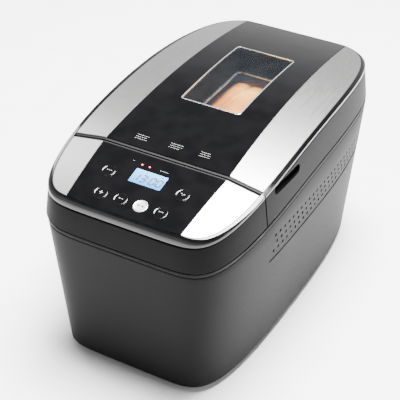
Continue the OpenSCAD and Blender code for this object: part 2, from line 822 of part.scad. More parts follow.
module belt(p, rp, q, rq, z) {
    r0 = belt_gap;
    r1 = belt_gap + belt_t;
    translate([0, 0, z + 0.5]) linear_extrude(belt_w - 1) difference() {
        polygon(belt_outline(p, rp + r1, q, rq + r1));
        polygon(belt_outline(p, rp + r0, q, rq + r0));
    }
}

module drive_belt() {
    color("#1a1a1a") belt([0, front_shaft_y], pulley_r, [motor_x, motor_y], small_r, low_belt_z);
}

module link_belt() {
    color("#1a1a1a") belt([0, front_shaft_y], pulley_r, [0, rear_shaft_y], pulley_r, high_belt_z);
}

module power_board() {
    board_w = 108;
    board_h = 76;
    color("#2d6b3c") translate([-98, -118, chamber_z + 6]) {
        cube([board_w, 1.6, board_h]);
        translate([8, -22, 42]) cube([30, 22.2, 26]);
        translate([50, -16, 46]) cube([20, 16.2, 16]);
        translate([84, 0.2, 20]) rotate([90, 0, 0]) cylinder(r = 9, h = 26);
        translate([20, 0.2, 18]) rotate([90, 0, 0]) cylinder(r = 7, h = 18);
        translate([44, -12, 6]) cube([24, 12.2, 12]);
    }
}

module cord_gland() {
    y = back_y(gland_z);
    color("#141414") translate([gland_x, y, gland_z]) rotate([-90, 0, 0]) difference() {
        union() {
            translate([0, 0, -10]) cylinder(r = gland_r + 4, h = 13);
            translate([0, 0, 1]) cylinder(r = gland_r + 6.5, h = 3);
            translate([0, 0, -9]) cylinder(r = gland_r + 6.5, h = 3);
        }
        translate([0, 0, -11]) cylinder(r = gland_r, h = 20);
    }
}

// ---- bread pan ----

pan_wall = 1.4;
lift = 6;             // how far the pan's base reaches down into its seat

module pan_plan(inset) { round_rect(pan_w - 2 * inset, pan_l - 2 * inset, 18); }

module bread_pan() {
    color("#4d4b4a") translate([0, chamber_y, 0]) difference() {
        union() {
            hull() {
                upright(pan_z, pan_z + 0.2) pan_plan(pan_draft, $fn = 32);
                upright(pan_top - 1, pan_top) pan_plan(0, $fn = 32);
            }
            upright(pan_top - 1.5, pan_top) round_rect(pan_w + 4, pan_l + 4, 20);
            for (s = [-1, 1])
                translate([0, s * (pan_l / 2 + 1), bail_z])
                    rotate([90, 0, 0]) cylinder(r = 5, h = 6, center = true);
        }
        hull() {
            upright(pan_z + pan_wall, pan_z + pan_wall + 0.2) pan_plan(pan_draft + pan_wall, $fn = 32);
            upright(pan_top, pan_top + 1) pan_plan(pan_wall, $fn = 32);
        }
        for (y = shaft_ys)
            translate([0, y - chamber_y, pan_z - 2]) cylinder(r = bush_r - 1, h = 10);
        for (s = [-1, 1])
            translate([0, s * (pan_l / 2 + 1), bail_z])
                rotate([90, 0, 0]) cylinder(r = bail_r + fit, h = 20, center = true);
    }
}

module pan_base() {
    w = seat_w - 2 * seat_t - 1.6;
    l = seat_l - 2 * seat_t - 1.6;
    bottom = chamber_z + sheet + seat_h - lift;
    color("#7d7d7b") translate([0, chamber_y, 0]) difference() {
        union() {
            upright(bottom, pan_z) difference() {
                round_rect(w, l, 9);
                round_rect(w - 4, l - 4, 7);
            }
            upright(pan_z - 3, pan_z) round_rect(w, l, 9);
            for (y = shaft_ys)
                translate([0, y - chamber_y, bush_z0]) cylinder(r = bush_r + 3, h = pan_z - bush_z0);
        }
        for (y = shaft_ys)
            translate([0, y - chamber_y, 0]) cylinder(r = bush_r - 1, h = 200);
    }
}

bush_z0 = 75.5;
bush_top = pan_z + 3.5;

module pan_bushes() {
    color("#a8834a")
        for (y = shaft_ys)
            translate([0, y, 0]) tube(shaft_r + fit, bush_r - 1, bush_z0, bush_top);
}

bail_z = 184;
bail_r = 2;
bail_reach = 72;       // how far the handle's bar stands from its pivots when folded to the side
bail_y = pan_l / 2 + 6.5;

// A wire bail: a pivot in each end of the pan, two legs and a bar along the pan
module pan_handle() {
    b = 8;
    z = bail_z;
    color("#c4c4c2") translate([0, chamber_y, z]) union() {
        for (s = [-1, 1]) {
            translate([0, s > 0 ? pan_l / 2 - 3 : -bail_y, 0])
                rotate([-90, 0, 0]) cylinder(r = bail_r, h = bail_y - pan_l / 2 + 3);
            translate([0, s * bail_y, 0]) sphere(r = bail_r);
            translate([0, s * bail_y, 0]) rotate([0, 90, 0]) cylinder(r = bail_r, h = bail_reach - b);
            translate([bail_reach - b, s * (bail_y - b), 0])
                rotate([0, 0, s > 0 ? 0 : -90])
                    rotate_extrude(angle = 90)
                        translate([b, 0]) circle(bail_r);
        }
        translate([bail_reach, -bail_y + b, 0]) rotate([-90, 0, 0]) cylinder(r = bail_r, h = 2 * (bail_y - b));
    }
}

pan_dog_z = 64;

module pan_shaft(y) {
    color("#b9bbbe") translate([0, y, 0]) {
        translate([0, 0, dog_z + dog_h + 1]) cylinder(r = shaft_r, h = paddle_top - 4.3 - dog_z - dog_h - 1);
        translate([0, 0, dog_z + dog_h + 1]) cylinder(r = 11, h = 3);
        for (s = [-1, 1])
            translate([-2.5, s > 0 ? 6.8 : -10.8, pan_dog_z]) cube([5, 4, dog_z + dog_h + 2 - pan_dog_z]);
    }
}

module front_pan_shaft() { pan_shaft(front_shaft_y); }
module rear_pan_shaft() { pan_shaft(rear_shaft_y); }

paddle_top = 106;
paddle_z = bush_top + 0.6;

module paddle(y) {
    hub_r = 8.5;
    blade_t = 4;
    color("#4a4846") translate([0, y, 0]) difference() {
        union() {
            translate([0, 0, paddle_z]) cylinder(r = hub_r, h = paddle_top - paddle_z);
            translate([0, -blade_t / 2, paddle_z])
                rotate([90, 0, 0]) translate([0, 0, -blade_t])
                    linear_extrude(blade_t) {
                        square([paddle_r - 10, paddle_top - paddle_z - 3]);
                        translate([paddle_r - 10, 0]) square([10, 9]);
                        translate([paddle_r - 10, 9]) circle(r = 10);
                    }
        }
        translate([0, 0, paddle_z - 10]) cylinder(r = shaft_r + fit, h = paddle_top - 4 - paddle_z + 10);
        translate([-big / 2, -big / 2, paddle_z - 20]) cube([big, big, 20]);
    }
}

module front_paddle() { paddle(front_shaft_y); }
module rear_paddle() { paddle(rear_shaft_y); }

// ---- lid ----

grip_front = -105;
grip_low = 239;
grip_top = grip_low + grip_h - 1.8;
liner_z = 236;
liner_low = 209;
liner_t = 1;
liner_flange = 8;
well_t = 2;

// A box at one side of the lid, from depth0 to depth1 in from the widest line
module grip_box(s, depth0, depth1, extra, z0, z1) {
    x = s > 0 ? half_w - depth1 : -half_w + depth0;
    translate([x, grip_front - extra, z0])
        cube([depth1 - depth0, grip_l + 2 * extra, z1 - z0]);
}

// An arm from the rear wall of the lid to a hinge pin
module hinge_arm() {
    function wall_y(z) = half_d - wall / 2 - 0.4
        - rim_in * (z - seam_z(half_d)) / (under_rim(half_d) - seam_z(half_d));
    low = hinge_z - 3;
    high = hinge_z + 18;
    rotate([90, 0, 90]) linear_extrude(ear_w) difference() {
        union() {
            translate([hinge_y, hinge_z]) circle(knuckle_r);
            polygon([[hinge_y, low], [wall_y(low), low], [wall_y(high), high],
                [hinge_y - knuckle_r, hinge_z]]);
        }
        translate([hinge_y, hinge_z]) circle(hinge_pin_r + fit);
    }
}

module lid_skirt() {
    color("#343335") {
        difference() {
            band(lid_edge, true);
            for (s = [-1, 1])
                grip_box(s, -5, 20, 0, grip_low, grip_low + 20);
            for (x = [-hinge_x, hinge_x])
                translate([x - post_w / 2 - 1, hinge_y - 1, hinge_z - 30])
                    cube([post_w + 2, 30, 30 + knuckle_r + 1.5]);
        }
        for (x = [-ear_x - ear_w, ear_x])
            translate([x, 0, 0]) hinge_arm();
    }
}

ear_x = hinge_x + post_w / 2 + 1;

module window_plan(extra) {
    translate([0, window_y]) round_rect(window_w + 2 * extra, window_l + 2 * extra, 3 + max(0, extra));
}

// A block whose top follows the arch, from z0 or from depth d1 up to depth d0 below it
module arched_block(width, y0, y1, d0, d1, z0 = 0) {
    n = 14;
    high = [for (i = [0 : n]) let (y = mix(y0, y1, i / n)) [y, arch_z(y) - d0]];
    low = z0 > 0 ? [[y1, z0], [y0, z0]]
        : [for (i = [n : -1 : 0]) let (y = mix(y0, y1, i / n)) [y, arch_z(y) - d1]];
    rotate([90, 0, 90])
        translate([0, 0, -width / 2])
            linear_extrude(width)
                polygon(concat(high, low));
}

module lid_frame() {
    color("#0e0e10") difference() {
        union() {
            rim(lid_edge, true);
            top_layer(rear_ys(rim_in + border - 1.2, lid_edge), rim_in + border - 1.2, skin_t, top_t - 0.2);
        }
        upright(200, body_h + 10) window_plan(-1.5);
    }
}

module lid_panel() {
    color("#08080a") difference() {
        panel_layer(rear_ys(skin_in, lid_edge + skin_gap), skin_in, 0, skin_low);
        upright(200, body_h + 10) window_plan(0);
    }
}

module right_lid_trim() {
    y1 = wide_y + strip_end(rear_reach, panel_w_rear / 2, skin_in);
    ys = [for (y = rear_ys(skin_in, lid_edge + skin_gap)) if (y < y1 - 0.5) y];
    color("#c9c9c9") strip_layer(concat(ys, [y1]), skin_in, 0, skin_low);
}

module left_lid_trim() { mirror([1, 0, 0]) right_lid_trim(); }

module window_outer_glass() {
    color("#b9c6cf", 0.4) intersection() {
        arched_block(window_w + 10, window_y - window_l, window_y + window_l, 0.1, skin_low);
        upright(200, body_h + 10) window_plan(-0.3);
    }
}

// The well between the two panes: four walls under the frame
module window_frame() {
    low = liner_z + liner_t + pane_t + 0.2;
    l = window_l + 2 * well_t - 3;
    color("#5b646b") difference() {
        arched_block(window_w + 2 * well_t - 3, window_y - l / 2, window_y + l / 2, top_t + 0.1, 0, low);
        upright(200, body_h + 10) window_plan(-1.5);
    }
}

pane_t = 3;

module window_inner_glass() {
    color("#b9c6cf", 0.4) upright(liner_z + liner_t + 0.1, liner_z + liner_t + 0.1 + pane_t) window_plan(2);
}

module lid_liner() {
    color("#a9aaab") difference() {
        union() {
            translate([0, 0, liner_low]) linear_extrude(liner_z + liner_t - liner_low) chamber_plan(liner_t + 2);
            translate([0, 0, liner_low]) linear_extrude(liner_t) chamber_plan(2 + liner_flange);
        }
        translate([0, 0, liner_low - 1]) linear_extrude(liner_z - liner_low + 1) chamber_plan(2);
        upright(200, 260) window_plan(-4);
    }
}

// Trays behind the grip openings; the fingers lift against the roof of each tray
module grip_pockets() {
    depth = 18;
    color("#0c0c0d")
        for (s = [-1, 1])
            difference() {
                grip_box(s, rim_in + wall + 0.6, depth, -0.3, grip_low - 1.7, grip_top);
                grip_box(s, 0, depth - 1.5, -1.8, grip_low - 0.2, grip_top - 1.5);
            }
}

module hinge_pins() {
    color("#b9bbbe")
        for (s = [-1, 1])
            translate([s > 0 ? hinge_x - 4 : -hinge_x + 4 - 18, hinge_y, hinge_z])
                rotate([0, 90, 0]) cylinder(r = hinge_pin_r, h = 18);
}

housing();
base_plate();
rubber_feet();
left_vent_grille();
right_vent_grille();
control_housing();
control_frame();
control_panel();
left_control_trim();
right_control_trim();
lcd_lens();
lcd_module();
indicator_lights();
control_board();
power_board();
programme_button();
plus_button();
minus_button();
start_stop_button();
crust_button();
weight_button();
top_deck();
baking_chamber();
heating_element();
element_clips();
temperature_sensor();
pan_seat();
pan_clips();
drive_bracket();
shaft_bushes();
motor();
motor_bracket();
motor_shaft();
motor_pulley();
front_pulley();
rear_pulley();
front_drive_shaft();
rear_drive_shaft();
drive_belt();
link_belt();
bread_pan();
pan_base();
pan_bushes();
pan_handle();
front_pan_shaft();
rear_pan_shaft();
front_paddle();
rear_paddle();
lid_skirt();
lid_frame();
lid_panel();
left_lid_trim();
right_lid_trim();
window_outer_glass();
window_frame();
window_inner_glass();
lid_liner();
grip_pockets();
hinge_pins();
cord_gland();
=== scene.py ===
# %% [markdown]
# # A bread machine, from bare solids to finished looks
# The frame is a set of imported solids, one for each real piece, already in place and real size.
# This lesson gives each piece its surface: fine shells where a moulding's curve shows, and a
# material that starts from what the real piece is made of and how it was made.

# %% Load the frame
import json
import math
import bmesh
import bpy
from mathutils import Matrix, Vector, noise


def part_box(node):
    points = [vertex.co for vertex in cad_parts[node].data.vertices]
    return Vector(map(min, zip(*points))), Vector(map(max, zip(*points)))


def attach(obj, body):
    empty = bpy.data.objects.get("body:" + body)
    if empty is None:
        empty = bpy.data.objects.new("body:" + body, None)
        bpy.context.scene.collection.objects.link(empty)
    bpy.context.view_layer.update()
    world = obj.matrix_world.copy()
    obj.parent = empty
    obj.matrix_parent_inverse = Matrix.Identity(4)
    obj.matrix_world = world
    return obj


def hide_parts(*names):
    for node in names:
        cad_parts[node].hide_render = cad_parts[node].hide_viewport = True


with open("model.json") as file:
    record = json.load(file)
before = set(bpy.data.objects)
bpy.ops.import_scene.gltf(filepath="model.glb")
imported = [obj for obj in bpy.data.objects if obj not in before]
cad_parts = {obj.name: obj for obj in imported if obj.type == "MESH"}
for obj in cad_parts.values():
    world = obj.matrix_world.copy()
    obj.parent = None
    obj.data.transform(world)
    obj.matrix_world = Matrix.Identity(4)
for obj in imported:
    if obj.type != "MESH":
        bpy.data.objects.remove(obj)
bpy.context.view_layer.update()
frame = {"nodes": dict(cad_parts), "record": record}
CAD = frame["nodes"]

# %% [markdown]
# ## Measures
# All lengths below are millimetres, and one factor turns them into metres. The casing's plan is a
# superellipse: almost straight sides, and ends that bow out. The top follows a long arch from
# front to back. The overall sizes are read from the frame, so the shells fit the solids.

# %% Measures of the shell
MM = 0.001
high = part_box("lid_skirt")[1] / MM
HALF_W = high.x
BACK_Y = high.y
FRONT_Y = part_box("control_housing")[0].y / MM
TOP_Z = 275.0
WIDE_Y = -29.0
SIDE_POWER, END_POWER = 7.5, 2.6
ARCH_R, CREST_Y = 1000.0, 56.0
SEAM_R, SEAM_TOP = 1430.0, 220.0
RIM_IN, RIM_DROP, BORDER = 3.8, 8.6, 4.5
SKIN, FRAME = 1.4, 2.2
WALL = 2.5
SPLIT_Y = -124.0
LID_EDGE, FRONT_EDGE = SPLIT_Y + 1.0, SPLIT_Y - 1.0
print("half width", round(HALF_W, 1), "front", round(FRONT_Y, 1), "back", round(BACK_Y, 1))

# %% Shape of the plan and of the top
def arch_z(y):
    return TOP_Z - ARCH_R + math.sqrt(ARCH_R ** 2 - (y - CREST_Y) ** 2)


def seam_z(y):
    return SEAM_TOP - SEAM_R + math.sqrt(SEAM_R ** 2 - (y - CREST_Y) ** 2)


def reach(y):
    return WIDE_Y - FRONT_Y if y < WIDE_Y else BACK_Y - WIDE_Y


def half_x(y, inset):
    k = min(1.0, abs(y - WIDE_Y) / (reach(y) - inset))
    return (HALF_W - inset) * (1 - k ** END_POWER) ** (1 / SIDE_POWER)


def plan_point(t, in_x, in_y):
    c, s = math.cos(t), math.sin(t)
    r = (WIDE_Y - FRONT_Y if s < 0 else BACK_Y - WIDE_Y) - in_y
    return (math.copysign(abs(c) ** (2 / SIDE_POWER), c) * (HALF_W - in_x),
            WIDE_Y + math.copysign(abs(s) ** (2 / END_POWER), s) * r)


def outline_angle(y):
    return math.asin((abs(y - WIDE_Y) / reach(y)) ** (END_POWER / 2))


def fold_x(y):
    if y < SPLIT_Y:
        k = (y - FRONT_Y) / (SPLIT_Y - FRONT_Y)
        return (147 + (164 - 147) * k) / 2
    k = (y - SPLIT_Y) / (BACK_Y - SPLIT_Y)
    return (164 + (145 - 164) * k) / 2


def top_z(x, y):
    f = fold_x(y)
    return arch_z(y) - RIM_DROP * max(0, abs(x) - f) / (HALF_W - RIM_IN - f)


# %% [markdown]
# The angle of a superellipse crowds its points at the flat sides, so the angles are picked
# again at even distances round the outline. Rings that share these angles match point for point.

# %% Even steps round the outline
def even_angles(start, end, count):
    fine = [start + (end - start) * i / 6000 for i in range(6001)]
    points = [plan_point(t, 0, 0) for t in fine]
    run = [0.0]
    for a, b in zip(points, points[1:]):
        run.append(run[-1] + math.dist(a, b))
    picked, j = [], 0
    for i in range(count + 1):
        goal = run[-1] * i / count
        while j < 6000 and run[j] < goal:
            j += 1
        picked.append(fine[j])
    return picked


# %% Helpers that make a mesh and give it a body
def turned_outward(mesh, weld):
    """Welds points that meet, turns every face outward, and says how many edges stay open."""
    work = bmesh.new()
    work.from_mesh(mesh)
    if weld:
        bmesh.ops.remove_doubles(work, verts=work.verts, dist=1e-7)
    bmesh.ops.recalc_face_normals(work, faces=work.faces)
    if work.calc_volume(signed=True) < 0:
        bmesh.ops.reverse_faces(work, faces=work.faces)
    loose = sum(not edge.is_manifold for edge in work.edges)
    work.to_mesh(mesh)
    work.free()
    return loose


def new_piece(name, verts, faces, body, material, stands_for=(), smooth=True, sharp=35):
    mesh = bpy.data.meshes.new(name)
    mesh.from_pydata([Vector(v) * MM for v in verts], [], faces)
    loose = turned_outward(mesh, True)
    if loose:
        print(name, "has", loose, "open edges")
    piece = bpy.data.objects.new(name, mesh)
    bpy.context.scene.collection.objects.link(piece)
    finish_piece(piece, body, material, stands_for, smooth, sharp)
    return piece


def finish_piece(piece, body, material, stands_for, smooth, sharp):
    piece.data.materials.clear()
    piece.data.materials.append(material)
    if smooth:
        piece.data.shade_smooth()
        piece.data.set_sharp_from_angle(angle=math.radians(sharp))
    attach(piece, body)
    for node_name in stands_for:
        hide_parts(node_name)


def rings(levels, closed=True, capped=False):
    """Vertices and faces through rings that hold the same number of points."""
    n = len(levels[0])
    verts = [p for level in levels for p in level]
    faces = []
    for k in range(len(levels) - 1):
        for i in range(n if closed else n - 1):
            j = (i + 1) % n
            faces.append((k * n + i, k * n + j, (k + 1) * n + j, (k + 1) * n + i))
    if capped:
        faces.append(tuple(range(n)))
        faces.append(tuple(range((len(levels) - 1) * n, len(levels) * n)))
    return verts, faces


def cut(piece, cutters):
    """Cuts closed meshes out of a piece, then clears the cutters away."""
    for verts, faces in cutters:
        mesh = bpy.data.meshes.new("cutter")
        mesh.from_pydata([Vector(v) * MM for v in verts], [], faces)
        turned_outward(mesh, False)
        tool = bpy.data.objects.new("cutter", mesh)
        bpy.context.scene.collection.objects.link(tool)
        step = piece.modifiers.new("opening", "BOOLEAN")
        step.operation, step.solver, step.object = "DIFFERENCE", "EXACT", tool
        bpy.context.view_layer.update()
        result = bpy.data.meshes.new_from_object(piece.evaluated_get(bpy.context.evaluated_depsgraph_get()))
        piece.modifiers.clear()
        piece.data = result
        bpy.data.objects.remove(tool)


# %% [markdown]
# ## Materials
# Every colour is written as sRGB hex, and one function turns it into the linear values that a
# shader needs. One more function adds a node with its settings and links. Patterns use object
# coordinates, which are metres here, so a scale of 1 / size gives a pattern of that size.

# %% Colour and node helpers
def linear(colour):
    parts = [int(colour[i:i + 2], 16) / 255 for i in (1, 3, 5)]
    return [c / 12.92 if c <= 0.04045 else ((c + 0.055) / 1.055) ** 2.4 for c in parts] + [1.0]


def add(tree, kind, settings=None, **sockets):
    made = tree.nodes.new(kind)
    for key, value in (settings or {}).items():
        setattr(made, key, value)
    for key, value in sockets.items():
        name = key.replace("_", " ")
        socket = made.inputs[int(key[1:])] if key[0] == "n" and key[1:].isdigit() else made.inputs[name]
        if isinstance(value, bpy.types.NodeSocket):
            tree.links.new(value, socket)
        else:
            socket.default_value = value
    return made


def begin(name, colour, roughness, metallic=0.0, **more):
    material = bpy.data.materials.new(name)
    material.use_nodes = True
    tree = material.node_tree
    shader = tree.nodes["Principled BSDF"]
    shader.inputs["Base Color"].default_value = linear(colour)
    shader.inputs["Roughness"].default_value = roughness
    shader.inputs["Metallic"].default_value = metallic
    for key, value in more.items():
        shader.inputs[key.replace("_", " ")].default_value = value
    place = add(tree, "ShaderNodeTexCoord")
    return material, tree, shader, place.outputs["Object"]


# %% [markdown]
# A fine-grained surface is a bump from noise; a colour that wanders a little is the same noise
# through a ramp between two close colours. Most finishes here are those two with other sizes.
# Real moulding grain and brushing are finer than 0.2 mm. They are drawn at 0.5 mm and up, so that
# they show from arm's length.

# %% A grain that most finishes share
def grain(tree, shader, place, size_mm, height_mm, colours=None, rough=None, stretch=(1, 1, 1), detail=3.0):
    spread = add(tree, "ShaderNodeMapping", Vector=place, Scale=stretch)
    pattern = add(tree, "ShaderNodeTexNoise", Vector=spread.outputs[0], Scale=1 / (size_mm * MM),
                  Detail=detail)
    if height_mm:
        bump = add(tree, "ShaderNodeBump", Height=pattern.outputs[0], Strength=1.0, Distance=height_mm * MM)
        tree.links.new(bump.outputs[0], shader.inputs["Normal"])
    if colours:
        ramp = add(tree, "ShaderNodeValToRGB", Fac=pattern.outputs[0])
        ramp.color_ramp.elements[0].position, ramp.color_ramp.elements[1].position = 0.35, 0.65
        ramp.color_ramp.elements[0].color = linear(colours[0])
        ramp.color_ramp.elements[1].color = linear(colours[1])
        tree.links.new(ramp.outputs[0], shader.inputs["Base Color"])
    if rough:
        span = add(tree, "ShaderNodeMapRange", Value=pattern.outputs[0], From_Min=0.3, From_Max=0.7,
                   To_Min=rough[0], To_Max=rough[1])
        tree.links.new(span.outputs[0], shader.inputs["Roughness"])
    return pattern


# %% Plastics
# Charcoal ABS from a spark-eroded mould: a matte skin that scatters light in a wide soft sheen.
# The pits of the grain trap most of the reflection, so the specular level is far below smooth plastic's.
charcoal, tree, shader, place = begin("charcoal_abs_spark_grain", "#0a090a", 0.5, IOR=1.52,
                                      Specular_IOR_Level=0.06)
grain(tree, shader, place, 1.3, 0.035, ("#080708", "#0c0b0c"), (0.46, 0.56))

# Piano-black ABS from a polished mould: a mirror over black, with faint waves from moulding.
gloss, tree, shader, place = begin("piano_black_abs_polished", "#060607", 0.05, IOR=1.52)
grain(tree, shader, place, 22.0, 0.02, ("#050506", "#080809"), (0.035, 0.07), detail=1.0)

# The rim and frame are the same plastic from a mould with a slightly duller polish.
rim_black, tree, shader, place = begin("black_abs_semi_gloss", "#050506", 0.09, IOR=1.52)
grain(tree, shader, place, 9.0, 0.01, ("#040405", "#070708"), (0.07, 0.12))

# The plate under the skins is the same plastic left matt, so the gap between lid and panel stays dark.
trough_black, tree, shader, place = begin("black_abs_matt_plate", "#060606", 0.6, IOR=1.52,
                                          Specular_IOR_Level=0.2)
grain(tree, shader, place, 2.0, 0.02, ("#050505", "#080808"), (0.55, 0.66))

inner_black, tree, shader, place = begin("black_abs_moulded", "#121213", 0.5, IOR=1.5)
grain(tree, shader, place, 2.0, 0.04, ("#0f0f10", "#161617"), (0.45, 0.58))

dark_plastic, tree, shader, place = begin("dark_pp_moulded", "#1f1f20", 0.55, IOR=1.49)
grain(tree, shader, place, 2.4, 0.05, ("#1b1b1c", "#242425"), (0.5, 0.62))

nylon, tree, shader, place = begin("natural_nylon_moulded", "#d6d0bf", 0.45, IOR=1.53, Subsurface_Weight=0.1)
grain(tree, shader, place, 5.0, 0.02, ("#cfc8b5", "#dbd6c8"), (0.4, 0.5))

silver_lacquer, tree, shader, place = begin("silver_lacquer_on_abs", "#c9c9cc", 0.3, 0.85, Coat_Weight=0.4)
grain(tree, shader, place, 0.6, 0.004, ("#bcbcc0", "#d4d4d6"), (0.26, 0.36))

# %% Metals
# Stainless strip brushed along the machine: scratches run in Y, so the noise is stretched there.
steel_strip, tree, shader, place = begin("stainless_strip_brushed", "#a3a3a2", 0.34, 1.0)
grain(tree, shader, place, 0.5, 0.002, ("#9e9e9d", "#a9a9a8"), (0.31, 0.37), stretch=(1, 0.004, 1), detail=2)

steel_plain, tree, shader, place = begin("steel_ground", "#b9bbbe", 0.28, 1.0)
grain(tree, shader, place, 1.2, 0.006, ("#a9abae", "#c3c5c8"), (0.22, 0.36))

zinc, tree, shader, place = begin("zinc_plated_sheet", "#a8abae", 0.42, 1.0)
grain(tree, shader, place, 6.0, 0.01, ("#9a9da1", "#b6b8b8"), (0.36, 0.5))

chamber_sheet, tree, shader, place = begin("drawn_steel_sheet", "#a3a3a1", 0.38, 1.0)
grain(tree, shader, place, 3.0, 0.01, ("#949492", "#b0b0ae"), (0.32, 0.46), stretch=(1, 1, 0.15))

cast_aluminium, tree, shader, place = begin("cast_aluminium", "#9b9b99", 0.5, 1.0)
grain(tree, shader, place, 1.6, 0.05, ("#8a8a88", "#aaaaa8"), (0.44, 0.6))

pressed_aluminium, tree, shader, place = begin("pressed_aluminium_sheet", "#a9aaab", 0.36, 1.0)
grain(tree, shader, place, 4.0, 0.008, ("#9c9d9e", "#b6b7b8"), (0.3, 0.42))

bronze, tree, shader, place = begin("sintered_bronze", "#a8834a", 0.42, 1.0)
grain(tree, shader, place, 0.8, 0.02, ("#94713d", "#b8945a"), (0.38, 0.5))

element_oxide, tree, shader, place = begin("heating_element_oxidised", "#5a5652", 0.5, 0.8)
grain(tree, shader, place, 7.0, 0.02, ("#4a4541", "#6e655c"), (0.42, 0.6))

motor_can, tree, shader, place = begin("motor_can_plated", "#74777b", 0.36, 0.9)
grain(tree, shader, place, 5.0, 0.01, ("#696c70", "#808387"), (0.3, 0.44))

non_stick, tree, shader, place = begin("ptfe_coating_on_aluminium", "#3d3b3a", 0.34, 0.25, IOR=1.38)
grain(tree, shader, place, 0.9, 0.02, ("#353332", "#474544"), (0.28, 0.42))

window_steel, tree, shader, place = begin("painted_sheet_dark_grey", "#0b0c0d", 0.9, Specular_IOR_Level=0.1)
grain(tree, shader, place, 3.0, 0.01, ("#08090a", "#0e0f10"), (0.86, 0.95))

# %% Rubber, boards, glass and light
rubber, tree, shader, place = begin("nitrile_rubber_moulded", "#161616", 0.72, IOR=1.52)
grain(tree, shader, place, 1.5, 0.05, ("#121212", "#1d1d1d"), (0.66, 0.8))

board_green, tree, shader, place = begin("solder_resist_green", "#1d5c34", 0.3, IOR=1.55)
grain(tree, shader, place, 4.0, 0.02, ("#174e2b", "#24693d"), (0.26, 0.4))

# Clear glass shows what lies behind it, with a faint grey veil and a weak reflection.
clear_glass, tree, shader, place = begin("float_glass_clear", "#3a4046", 0.03, IOR=1.52, Alpha=0.05,
                                         Specular_IOR_Level=0.3)
grain(tree, shader, place, 30.0, 0.0, ("#343a40", "#42484e"), (0.02, 0.05))

# Bright moulded edge round the window: hot-stamped silver on plastic.
bright_edge, tree, shader, place = begin("silver_hot_stamp", "#c8cacc", 0.22, 0.9)
grain(tree, shader, place, 1.0, 0.004, ("#bfc1c3", "#d2d4d6"), (0.18, 0.28))

print_white, tree, shader, place = begin("pad_print_white", "#8f8f8d", 0.5, IOR=1.5)
grain(tree, shader, place, 0.5, 0.004, ("#858583", "#999997"), (0.45, 0.55))

segment_dark, tree, shader, place = begin("display_segment_dark", "#05070a", 0.5, IOR=1.5)
grain(tree, shader, place, 0.5, 0.002, ("#040507", "#07090c"), (0.45, 0.55))

lamp_pink, tree, shader, place = begin("led_dome_tinted", "#ff5a6e", 0.2, IOR=1.5,
                                       Emission_Strength=1.6)
shader.inputs["Emission Color"].default_value = linear("#ff4a60")
grain(tree, shader, place, 0.7, 0.004, ("#ff5066", "#ff6a7c"), (0.15, 0.25))

# %% [markdown]
# The display is a lit film behind a clear lens: blue all over, paler at the top edge where the
# lamp sits. A gradient along Y gives that, and its colour also glows a little.

# %% Display film
display_film, tree, shader, place = begin("lcd_backlight_film", "#4f86b8", 0.2, IOR=1.5)
middle = sum(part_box("lcd_lens"), Vector()) / 2
shift = add(tree, "ShaderNodeMapping", Vector=place, Location=(0, -middle.y + 0.0105, 0), Scale=(1, 1, 1))
split = add(tree, "ShaderNodeSeparateXYZ", Vector=shift.outputs[0])
span = add(tree, "ShaderNodeMapRange", Value=split.outputs["Y"], From_Min=0.0, From_Max=0.021)
ramp = add(tree, "ShaderNodeValToRGB", Fac=span.outputs[0])
ramp.color_ramp.elements[0].color = linear("#2f6ea8")
ramp.color_ramp.elements[1].color = linear("#5f9fd0")
tree.links.new(ramp.outputs[0], shader.inputs["Base Color"])
tree.links.new(ramp.outputs[0], shader.inputs["Emission Color"])
shader.inputs["Emission Strength"].default_value = 0.25
print("display middle", [round(v / MM, 1) for v in middle])

# %% [markdown]
# A crust browns where it rises and stays pale where it tore open late. Two sizes of noise mix
# three browns, and a fine one roughens the surface.

# %% Bread crust
crust, tree, shader, place = begin("bread_crust_baked", "#bf7a2c", 0.65, IOR=1.45, Subsurface_Weight=0.08)
wide = add(tree, "ShaderNodeTexNoise", Vector=place, Scale=1 / (38 * MM), Detail=6.0, Distortion=0.6)
ramp = add(tree, "ShaderNodeValToRGB", Fac=wide.outputs[0])
ramp.color_ramp.elements[0].position, ramp.color_ramp.elements[1].position = 0.32, 0.68
ramp.color_ramp.elements[0].color = linear("#955316")
ramp.color_ramp.elements[1].color = linear("#d4964a")
middle_stop = ramp.color_ramp.elements.new(0.5)
middle_stop.color = linear("#b87024")
tree.links.new(ramp.outputs[0], shader.inputs["Base Color"])
fine = add(tree, "ShaderNodeTexNoise", Vector=place, Scale=1 / (3 * MM), Detail=5.0)
bump = add(tree, "ShaderNodeBump", Height=fine.outputs[0], Strength=1.0, Distance=0.7 * MM)
tree.links.new(bump.outputs[0], shader.inputs["Normal"])

# %% Give the solids their materials by slot
BY_SLOT = {
    "casing": charcoal, "dark_plastic": dark_plastic, "grille": charcoal, "rubber": rubber, "belt": rubber,
    "gloss_black": gloss, "frame_black": rim_black, "silver_button": silver_lacquer,
    "steel_strip": steel_strip, "display": display_film, "display_module": board_green,
    "lights": lamp_pink, "board": board_green, "chamber_sheet": chamber_sheet,
    "element_sheath": element_oxide, "clip_steel": zinc, "sensor": pressed_aluminium,
    "cast_aluminium": cast_aluminium, "zinc_sheet": zinc, "bronze": bronze, "motor_can": motor_can,
    "shaft_steel": steel_plain, "pulley": nylon, "non_stick": non_stick, "bail_steel": steel_plain,
    "glass": clear_glass, "window_frame": window_steel, "liner": pressed_aluminium, "grip_black": inner_black,
}
SLOT_OF = {s["node"]: s["material_slot"] for s in frame["record"]["subparts"]}
for name, solid in CAD.items():
    solid.data.materials.clear()
    solid.data.materials.append(BY_SLOT[SLOT_OF[name]])
print("slots in use:", len(set(SLOT_OF.values())))

